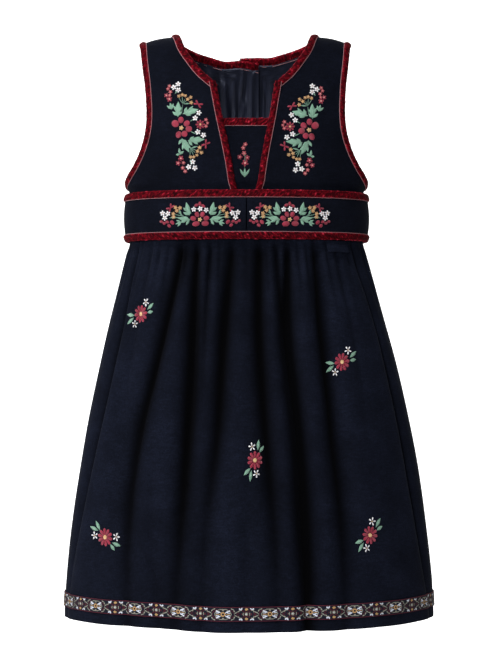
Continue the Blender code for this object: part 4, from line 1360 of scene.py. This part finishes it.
def tab_place(u, v):
    """The tab hangs off the belt's lower edge and tips out a little, with a faint wave below."""
    x, z = mix(TAB_LEFT, TAB_RIGHT, u), mix(TAB_BOTTOM, TAB_TOP, v)
    angle = math.asin((x / (HALF_WIDTH - BELT_PINCH)) ** (ROUNDNESS / 2))
    tip, wave = (BELT_BOTTOM - z) * 0.28, 0.2 * math.sin(u * 9) * (1 - v)
    return ring_point(angle, z, SEAM + CLOTH + tip + wave)


piece = grid_piece("belt_tab_cloth", tab_place, 20, 12, (21, 11), Vector((0, -1, 0)))
thick_cloth(piece, CLOTH)
placed(
    piece, wool, "wool_cloth", ["belt_tab"],
    flat=(0.022, 0.0115), held="hung", rests_on=["belt_right_cloth"],
)

# %% Button resin
button_resin, tree, shader = finish("navy polyester button", Roughness=0.32, Specular_IOR_Level=0.5)
where = node(tree, "TexCoord").outputs["Object"]
cloud = node(tree, "TexNoise", {"Vector": where}, Scale=160.0, Detail=2.0)
paint(tree, shader, cloud.outputs["Fac"], [(0.3, "#0d101b"), (0.7, "#1a2036")])
print("resin has", len(tree.nodes), "nodes")

# %% Buttons
# A button is a short cylinder with a sunk face, rounded edges and four holes drilled through it.
BUTTON_RADIUS, BUTTON_THICK, BUTTON_RIM, HOLE_RADIUS, HOLE_OFF = 5.5, 2.5, 1.3, 0.6, 1.1
BUTTON_X, BUTTON_HEIGHTS = 4.6, (-30.0, -78.0, -126.0)
for number, z in enumerate(BUTTON_HEIGHTS, 1):
    nothing_selected()
    bpy.ops.mesh.primitive_cylinder_add(
        vertices=48, radius=BUTTON_RADIUS * MM, depth=BUTTON_THICK * MM
    )
    button = bpy.context.object
    button.name = button.data.name = f"back_button_{number}_resin"
    bpy.ops.object.mode_set(mode="EDIT")
    bpy.ops.mesh.select_all(action="DESELECT")
    mesh = bmesh.from_edit_mesh(button.data)
    for face in mesh.faces:
        face.select = face.normal.z > 0.9
    bmesh.update_edit_mesh(button.data)
    bpy.ops.mesh.inset(thickness=BUTTON_RIM * MM, depth=0)
    bpy.ops.mesh.inset(thickness=0.5 * MM, depth=-0.6 * MM)
    bpy.ops.object.mode_set(mode="OBJECT")
    add_modifier(button, "BEVEL", width=0.35 * MM, segments=3, angle_limit=math.radians(30))
    for right, up in ((-1, -1), (-1, 1), (1, -1), (1, 1)):
        bpy.ops.mesh.primitive_cylinder_add(
            vertices=16, radius=HOLE_RADIUS * MM, depth=8 * MM,
            location=(right * HOLE_OFF * MM, up * HOLE_OFF * MM, 0),
        )
        drill = bpy.context.object
        add_modifier(button, "BOOLEAN", object=drill, operation="DIFFERENCE")
        bpy.data.objects.remove(drill)
    spot = form_place(BUTTON_X, z)
    lean = form_normal(1, *spot)
    off_cloth = lean * (SEAM + BUTTON_THICK / 2) + Vector((0, SEAM / 2, 0))
    only(button)
    button.location = (form_point(1, *spot) + off_cloth) * MM
    button.rotation_euler = lean.to_track_quat("Z", "Y").to_euler()
    bpy.ops.object.transform_apply(location=True, rotation=True, scale=True)
    bpy.ops.object.shade_smooth_by_angle(angle=math.radians(40))
    placed(button, button_resin, "button", [f"back_button_{number}"])

# %% [markdown]
# ## Embroidery
#
# Each petal and leaf is filled with satin stitch: threads laid side by side from edge to edge,
# which pile up into a low pillow. So one pillow is modelled, from a sphere, and copied. A flower
# is a ring of pillows, a leaf is a pointed one. Every copy is set out flat, as on the pattern
# sheet, and each of its points is then dropped on to the cloth from straight in front. The
# places on a pattern are mm from its middle.

# %% Stranded cotton
# The strands run along each pillow, 2 mm apart. Real ones are finer, but would not show.
cotton, tree, shader = finish(
    "stranded embroidery cotton",
    Roughness=0.5, Specular_IOR_Level=0.4, Sheen_Weight=0.15, Sheen_Roughness=0.4,
)
colour = node(tree, "Attribute", attribute_name="thread")
where = node(tree, "TexCoord").outputs["UV"]
strands = node(tree, "TexWave", {"Vector": where}, bands_direction="Y", Scale=520.0, Distortion=0.6)
# The ramp paints the grooves between the strands darker, as painted shade.
dark = ramp(tree, strands.outputs["Fac"], [(0.0, "#9a9a9a"), (0.5, "#ffffff")])
shade = node(
    tree, "MixRGB", {"Color1": colour.outputs["Color"], "Color2": dark.outputs[0]},
    blend_type="MULTIPLY", Fac=0.5,
)
tree.links.new(shade.outputs[0], shader.inputs["Base Color"])
bump(tree, shader, strands.outputs["Fac"], 0.0003, 0.8)

COTTONS = {
    "red": "#93213a", "coral": "#b8505a", "rose": "#eaaaa0", "green": "#7ba58e", "mint": "#a8c6b4",
    "gold": "#cb9d6c", "straw": "#dcb480", "white": "#f6f4f8",
}
print(len(COTTONS), "cottons")


# %% One pillow of satin stitch
PILLOW_BACK = -0.25  # the pillow's flat back, in shares of its height


def pillow(segments, rings):
    nothing_selected()
    bpy.ops.mesh.primitive_uv_sphere_add(segments=segments, ring_count=rings, radius=1)
    made = bpy.context.object
    made.name = made.data.name = f"pillow_{segments}"
    for vertex in made.data.vertices:
        across, up, along = vertex.co
        vertex.co = (along, across, max(up, PILLOW_BACK))
    return made


FINE, COARSE = pillow(12, 8), pillow(8, 4)
print("pillow faces:", len(FINE.data.polygons), "or", len(COARSE.data.polygons))


# %% Pattern sheet
def shaped(kind, along, across):
    """Narrows the pillow: a leaf has two points, a drop one, and an oval none."""
    if kind == "leaf":
        return along, across * (0.15 + 0.85 * (1 - abs(along) ** 1.7))
    if kind == "drop":
        return along, across * (0.62 + 0.38 * along)
    return along, across


class Pattern:
    """A pattern sheet: pillows of stitches with their colours, laid out flat in mm."""

    def __init__(self):
        self.stitches = []

    def stitch(self, kind, x, z, turn, length, width, thread, height=0.62):
        turn = math.radians(turn)
        self.stitches.append((kind, x, z, turn, length / 2, width / 2, thread, height))

    def run(self, kind, x1, z1, x2, z2, width, thread, height=0.55):
        """A pillow from one point to another."""
        turn, length = math.degrees(math.atan2(z2 - z1, x2 - x1)), math.dist((x1, z1), (x2, z2))
        self.stitch(kind, (x1 + x2) / 2, (z1 + z2) / 2, turn, length, width, thread, height)

    def petal(self, kind, x, z, angle, away, length, width, thread, height=0.62):
        """A pillow at a distance from x and z that points away from it."""
        px, pz = away * math.cos(math.radians(angle)), away * math.sin(math.radians(angle))
        self.stitch(kind, x + px, z + pz, angle, length, width, thread, height)

    def flower(self, x, z, size, petals, thread, centre="straw", turn=90, plump=0.62, heart=0.24):
        """Petals that meet in the middle, and a small heart of knots."""
        kind, long = "oval" if plump > 0.7 else "drop", size * 0.46
        for k in range(petals):
            angle = turn + 360 * k / petals
            self.petal(kind, x, z, angle, size * 0.3, long, long * plump, thread)
        self.stitch("oval", x, z, 0, size * heart, size * heart, centre, 0.85)

    def stars(self, *places, size=5.5):
        for number, (x, z) in enumerate(places):
            turn = 90 + 17 * number
            self.flower(x, z, size, 5, "white", "gold", turn=turn, plump=0.72, heart=0.2)

    def florets(self, thread, *places):
        centre = "rose" if thread in ("coral", "red") else "straw"
        for number, (x, z, size) in enumerate(places):
            turn = 25 * number
            self.flower(x, z, size * 1.05, 5, thread, centre, turn=turn, plump=0.76, heart=0.34)

    def leaves(self, *runs, width):
        for run in runs:
            self.run("leaf", *run, width, "green")

    def leaf(self, x1, z1, x2, z2, width, *lobes):
        """A leaf from its foot to its tip. Each lobe is (share along the vein, x and z of its tip).
        The vein is a thin paler run on top."""

        def vein(share):
            return mix(x1, x2, share), mix(z1, z2, share)

        self.run("leaf", x1, z1, x2, z2, width, "green")
        for share, tip_x, tip_z in lobes:
            self.run("leaf", *vein(share), tip_x, tip_z, 3.1, "green", 0.6)
        self.run("leaf", *vein(0.08), *vein(0.85), 0.5, "mint", 0.75)

    def stems(self, x, z, *ends):
        for ex, ez in ends:
            self.run("oval", x, z, ex, ez, 0.6, "green", 0.4)

    def cross(self, x, z, *turns):
        """Four narrow petals whose feet overlap a little in the middle."""
        for turn in turns:
            self.petal("drop", x, z, turn, 2.1, 5.6, 2.8, "red", 0.55)


# %% Sewing a pattern on the cloth
FINE_FROM = 5.0  # length times width from which a pillow gets the finer mesh
FRONT, BACKWARDS = -1.0, Vector((0, 1, 0))  # the drop starts a metre in front of the dress


def embroider(name, pattern, at, ground, turn=0.0, mirror=1, squeeze=1.0):
    """Sews a pattern on a piece of cloth. at is the x and z of its middle, in mm."""
    cloth = ground.data
    tree = BVHTree.FromPolygons(
        [vertex.co for vertex in cloth.vertices], [face.vertices for face in cloth.polygons]
    )
    sewn = bmesh.new()
    colours = sewn.verts.layers.float_color.new("thread")
    flats = sewn.loops.layers.uv.new("UVMap")
    cos_turn, sin_turn = math.cos(math.radians(turn)), math.sin(math.radians(turn))
    chance = random.Random(7)
    for kind, x, z, angle, long, wide, thread, height in pattern.stitches:
        template = FINE if long * wide > FINE_FROM else COARSE
        ca, sa = math.cos(angle), math.sin(angle)
        base = linear(COTTONS[thread])
        tone = chance.uniform(0.86, 1.1)
        verts, flat = [], []
        for vertex in template.data.vertices:
            along, across, up = vertex.co
            along, across = shaped(kind, along, across)
            a, b = along * long, across * wide
            px, pz = x + a * ca - b * sa, z + a * sa + b * ca
            wx = at[0] + mirror * squeeze * (px * cos_turn - pz * sin_turn)
            wz = at[1] + px * sin_turn + pz * cos_turn
            hit, normal, _, _ = tree.ray_cast(Vector((wx * MM, FRONT, wz * MM)), BACKWARDS)
            made = sewn.verts.new(hit + normal * (up * height + 0.08) * MM)
            tip = 1.0 + 0.16 * along  # threads catch a little more light towards the tip
            made[colours] = [min(c * tone * tip, 1.0) for c in base[:3]] + [1.0]
            verts.append(made)
            flat.append((b * MM, a * MM))
        for face in template.data.polygons:
            laid = sewn.faces.new([verts[i] for i in face.vertices])
            for loop, i in zip(laid.loops, face.vertices):
                loop[flats].uv = flat[i]
    data = bpy.data.meshes.new(name)
    sewn.to_mesh(data)
    sewn.free()
    piece = bpy.data.objects.new(name, data)
    bpy.context.scene.collection.objects.link(piece)
    only(piece)
    bpy.ops.object.mode_set(mode="EDIT")
    bpy.ops.mesh.select_all(action="SELECT")
    bpy.ops.mesh.normals_make_consistent(inside=False)
    bpy.ops.object.mode_set(mode="OBJECT")
    bpy.ops.object.shade_smooth()
    placed(piece, cotton)


# %% [markdown]
# The bodice's pattern hangs on a big six-petalled flower, with lobed leaves above and below it
# and sprays of small flowers at its ends. The other side has the same one turned over.

# %% Bodice pattern
bodice = Pattern()
bodice.stems(1.3, 24.4, (0.1, 14.0), (-2.9, 31.0), (0.6, 32.0), (3.6, 29.5), (6.2, 28.4))
bodice.stems(9.1, -20.4, (5.8, -14.0), (8.8, -28.0), (12.3, -27.8), (14.0, -25.4), (15.4, -23.0))
bodice.leaves((1.6, 24.2, 9.2, 24.6), (9.2, -20.6, 17.0, -18.6), width=1.7)
bodice.run("oval", 8.5, 6.2, 12.4, 8.6, 0.8, "green")
bodice.run("oval", 9.0, -3.6, 15.0, -6.6, 0.8, "green")
bodice.leaves((-6.6, 35.0, -4.6, 37.8), (9.2, -31.4, 9.9, -36.6), width=1.6)
bodice.leaf(
    -3.6, 11.0, -3.2, 27.0, 6.2,
    (0.08, -9.2, 17.0), (0.3, -7.9, 22.8), (0.08, 0.3, 16.6), (0.35, 0.4, 20.8),
)
bodice.leaf(
    0.9, 14.2, 17.2, 18.4, 6.2,
    (0.12, 5.4, 21.0), (0.32, 11.8, 22.0), (0.12, 9.8, 12.2), (0.42, 14.8, 15.0),
)
bodice.leaf(
    0.4, -10.2, 8.0, -24.8, 6.0,
    (0.05, -2.8, -16.6), (0.3, 1.2, -22.0), (0.1, 6.4, -15.4), (0.45, 9.6, -20.4),
)
bodice.leaf(
    6.2, -13.0, 23.6, -12.0, 5.8,
    (0.1, 12.6, -8.8), (0.35, 18.8, -9.4), (0.05, 11.2, -18.2), (0.3, 16.8, -17.0),
)
for foot, *tips in (
    ((-9.8, 19.2), (-14.9, 23.4), (-11.6, 26.0), (-8.2, 25.2)),
    ((-1.5, -26.6), (-2.2, -20.0), (2.6, -23.2), (-5.4, -26.6)),
):
    bodice.leaves(*[(*foot, *tip) for tip in tips], width=2.9)
SLIMMER, SHORTER = 0.94, 0.97  # leaves a thread's gap between the big petals
for angle, away, long, wide in (
    (93, 8.1, 6.8, 6.2), (143, 7.6, 8.0, 7.6), (39, 6.9, 6.8, 6.4),
    (-9, 7.6, 6.8, 6.8), (-61, 6.8, 6.4, 6.4), (-112, 7.1, 7.2, 6.4),
):
    bodice.petal("oval", 0.0, 0.0, angle, away, long * SHORTER, wide * SLIMMER, "red", 0.85)
bodice.florets("straw", (0.0, 0.0, 4.4))
bodice.flower(19.0, 3.0, 9.2, 8, "red", "straw", plump=0.7)
bodice.stars(
    (-3.5, 45.0), (-8.0, 41.8), (-3.3, 38.8), (17.5, 14.8), (13.9, 9.6), (16.5, -4.5), (22.2, -7.8)
)
bodice.stars((11.4, -34.2), (7.5, -39.2), (13.6, -40.3))
for thread, *places in (
    ("coral", (-12.4, 43.3, 3.6), (-13.8, 40.4, 3.4), (-11.4, 37.2, 3.8), (-11.9, 33.8, 3.0)),
    ("red", (-15.3, 33.8, 4.4), (-12.2, 29.8, 5.4), (-0.4, -30.4, 5.4), (-3.1, -35.2, 4.8)),
    ("coral", (2.2, -35.0, 3.6), (1.5, -40.0, 3.8), (4.0, -43.5, 3.8)),
    ("coral", (24.7, 7.6, 3.6), (26.2, 4.3, 3.0), (24.7, 1.2, 3.6)),
    (
        "gold", (-2.6, 32.4, 3.4), (0.8, 33.6, 3.5), (3.9, 32.6, 3.2), (6.2, 28.8, 3.6),
        (9.3, 30.8, 3.5),
    ),
    ("gold", (9.8, 25.3, 3.8), (18.4, -20.2, 3.9), (20.2, -25.2, 3.6), (16.2, -23.8, 3.6)),
    ("gold", (15.7, -27.7, 3.1), (12.6, -29.4, 3.2), (9.4, -29.4, 3.3)),
):
    bodice.florets(thread, *places)
bodice.cross(16.9, 23.7, -5, -60, 121, 175)
bodice.cross(24.5, -16.6, 17, 87, 200, 270)
for hand, at, mirror in (("left", (-64.8, -98.1), 1), ("right", (62.5, -100.2), -1)):
    ground = bpy.data.objects[f"bodice_front_{hand}_cloth"]
    embroider(f"embroidery_bodice_{hand}", bodice, at, ground, mirror=mirror)

# %% Plastron pattern
plastron = Pattern()
foot = (0.2, -17.0)
plastron.leaves((*foot, -4.6, -8.6), (*foot, 5.2, -8.6), (*foot, 0.4, -7.6), width=2.4)
plastron.stems(0.2, -9.0, (0.6, 8.0))
plastron.florets("coral", (0.9, 15.7, 4.0), (-1.2, 12.1, 4.0), (-0.4, 6.9, 4.4))
plastron.florets("red", (-4.6, 3.1, 4.8), (2.8, 2.4, 4.8), (0.6, -2.9, 6.4))
embroider("embroidery_plastron", plastron, (-1.9, -130.6), bpy.data.objects["plastron_cloth"])

# %% Belt pattern
belt = Pattern()
for side in (-1, 1):
    belt.stems(side * 16, 3.4, (side * 25.6, 5.6), (side * 22.4, 8.0))
    belt.run("oval", side * 19.0, 2.4, side * 31.0, 2.2, 0.9, "green")
    belt.leaves((side * 18.4, 3.8, side * 20.8, 10.4), width=1.9)
    for foot_x, foot_z, tip_x, tip_z, *lobes in (
        (
            10.6, 4.0, 13.8, 17.6,
            (0.05, 16.8, 7.4), (0.3, 16.9, 12.0), (0.05, 9.8, 8.8), (0.35, 11.0, 13.2),
        ),
        (9.2, -0.2, 22.6, 1.9, (0.1, 14.0, -5.4), (0.25, 19.4, -2.8), (0.1, 17.0, 3.2)),
    ):
        lobes = [(share, side * x, z) for share, x, z in lobes]
        belt.leaf(side * foot_x, foot_z, side * tip_x, tip_z, 4.8, *lobes)
    for tip_x, tip_z in ((23.9, -0.2), (24.8, -4.2), (22.6, -6.6)):
        belt.leaves((side * 18.6, -2.4, side * tip_x, tip_z), width=2.2)
    spray_ends = ((24.5, 12.3), (20.0, 11.9), (23.1, 9.1), (26.7, 6.1), (26.5, 2.9))
    belt.florets("gold", *[(side * x, z, 3.8) for x, z in spray_ends])
    belt.cross(side * 29.4, 11.9, *[90 + side * (angle - 90) for angle in (-7, 92, 145, -70)])
    belt.stars((side * 37.6, 7.0), (side * 32.2, 6.4), (side * 35.4, 2.2), size=5.3)
    buds = ((39.0, -1.3, 3.5), (36.1, -3.1, 3.4), (32.9, -1.8, 3.7), (27.8, -2.5, 5.2))
    for x, z, long in (*buds, (31.0, -5.7, 4.2)):
        belt.stitch("oval", side * x, z, side * (130 - 3 * x), long, 1.2 + 0.5 * long, "red")
    belt.run("oval", side * 30.0, -3.0, side * 39.0, -1.4, 0.7, "red", 0.4)
for x, z, angle, long, wide in (
    (-2.9, 5.0, 115, 5.6, 4.8), (2.5, 5.1, 65, 5.6, 4.8), (-6.7, 1.2, 165, 5.8, 5.2),
    (6.3, 1.2, 15, 5.8, 5.2), (-4.0, -4.2, 190, 7.6, 5.4), (5.2, -3.9, 0, 7.2, 5.6),
):
    belt.stitch("oval", x, z, angle, long, wide * SLIMMER, "red", 0.8)
belt.florets("straw", (0.0, 0.0, 4.0))
belt.stars((-6.1, 10.2), (0.2, 10.6), (6.2, 9.4), size=5.1)
for x, z, angle in ((-3.5, 14.3, 200), (-0.1, 15.6, 95), (3.1, 13.5, -35)):
    belt.stitch("oval", x, z, angle, 4.4, 3.1, "red")
for hand, x in (("left", -46.0), ("right", 43.2)):
    embroider(f"embroidery_belt_{hand}", belt, (x, -190.0), bpy.data.objects[f"belt_{hand}_cloth"])

# %% Skirt sprays
spray = Pattern()
spray.leaves((3.3, 9.4, 4.4, 20.2), width=4.0)
spray.leaves((5.2, 7.4, 10.2, 14.0), width=3.8)
spray.leaves((-5.0, -7.4, -13.2, -14.6), (-4.2, -9.4, -5.8, -20.8), width=4.0)
for vein in (
    (3.5, 11, 4.2, 18), (5.8, 8.2, 9.2, 12.7), (-6.2, -8.5, -11.8, -13.4), (-4.4, -11, -5.5, -18.6)
):
    spray.run("leaf", *vein, 0.8, "mint", 0.75)
spray.flower(0.0, 0.0, 17.0, 10, "red", "straw", plump=0.62, heart=0.27)
spray.flower(-3.4, 13.2, 8.2, 5, "white", "straw", turn=100, plump=0.66, heart=0.16)
spray.flower(1.6, -13.0, 7.8, 5, "white", "straw", turn=60, plump=0.66, heart=0.16)
skirt_front = bpy.data.objects["skirt_front_cloth"]
# Each spray's middle, its turn, and how much the flared cloth narrows it.
SPRAYS = {
    "a": (-105.7, -283.4, -46, 0.74), "b": (95.0, -331.3, -46, 0.84), "c": (8.5, -427.3, 0, 0.84),
    "d": (-140.5, -505.7, -101, 0.84), "e": (122.1, -502.1, -25, 0.84),
}
for letter, (x, z, turn, squeeze) in SPRAYS.items():
    name = f"embroidery_spray_{letter}"
    embroider(name, spray, (x, z), skirt_front, turn=turn, squeeze=squeeze)
bpy.data.objects.remove(FINE)
bpy.data.objects.remove(COARSE)

# %% [markdown]
# ## Floor and backdrop
#
# The dress hangs clear of a plain pale floor. A white sheet behind it glows, so that the ground
# is white from in front. It stands well back, so that there is room to look at the back as well.

# %% Floor
# Sizes and places are in metres.
def studio_sheet(name, size, location, rotation, colour, glow):
    nothing_selected()
    bpy.ops.mesh.primitive_plane_add(size=1, location=location, rotation=rotation)
    sheet = bpy.context.object
    sheet.name = sheet.data.name = name
    sheet.scale = (*size, 1)
    bpy.ops.object.transform_apply(location=True, rotation=True, scale=True)
    surface, tree, shader = finish(
        name.replace("_", " ") + " paint", Roughness=0.9, Emission_Strength=glow
    )
    shader.inputs["Emission Color"].default_value = linear("#ffffff")
    where = node(tree, "TexCoord").outputs["Object"]
    rolled = node(tree, "TexNoise", {"Vector": where}, Scale=60.0)
    paint(tree, shader, rolled.outputs["Fac"], [(0.3, colour), (0.7, "#fafafa")])
    sheet.data.materials.append(surface)


studio_sheet("studio_floor", (9.0, 8.0), (0, -0.4, -1.26), (0, 0, 0), "#f4f4f4", 0.0)
studio_sheet("studio_backdrop", (7.2, 7.8), (0, 3.6, 0.8), (math.pi / 2, 0, 0), "#f8f8f8", 1.0)
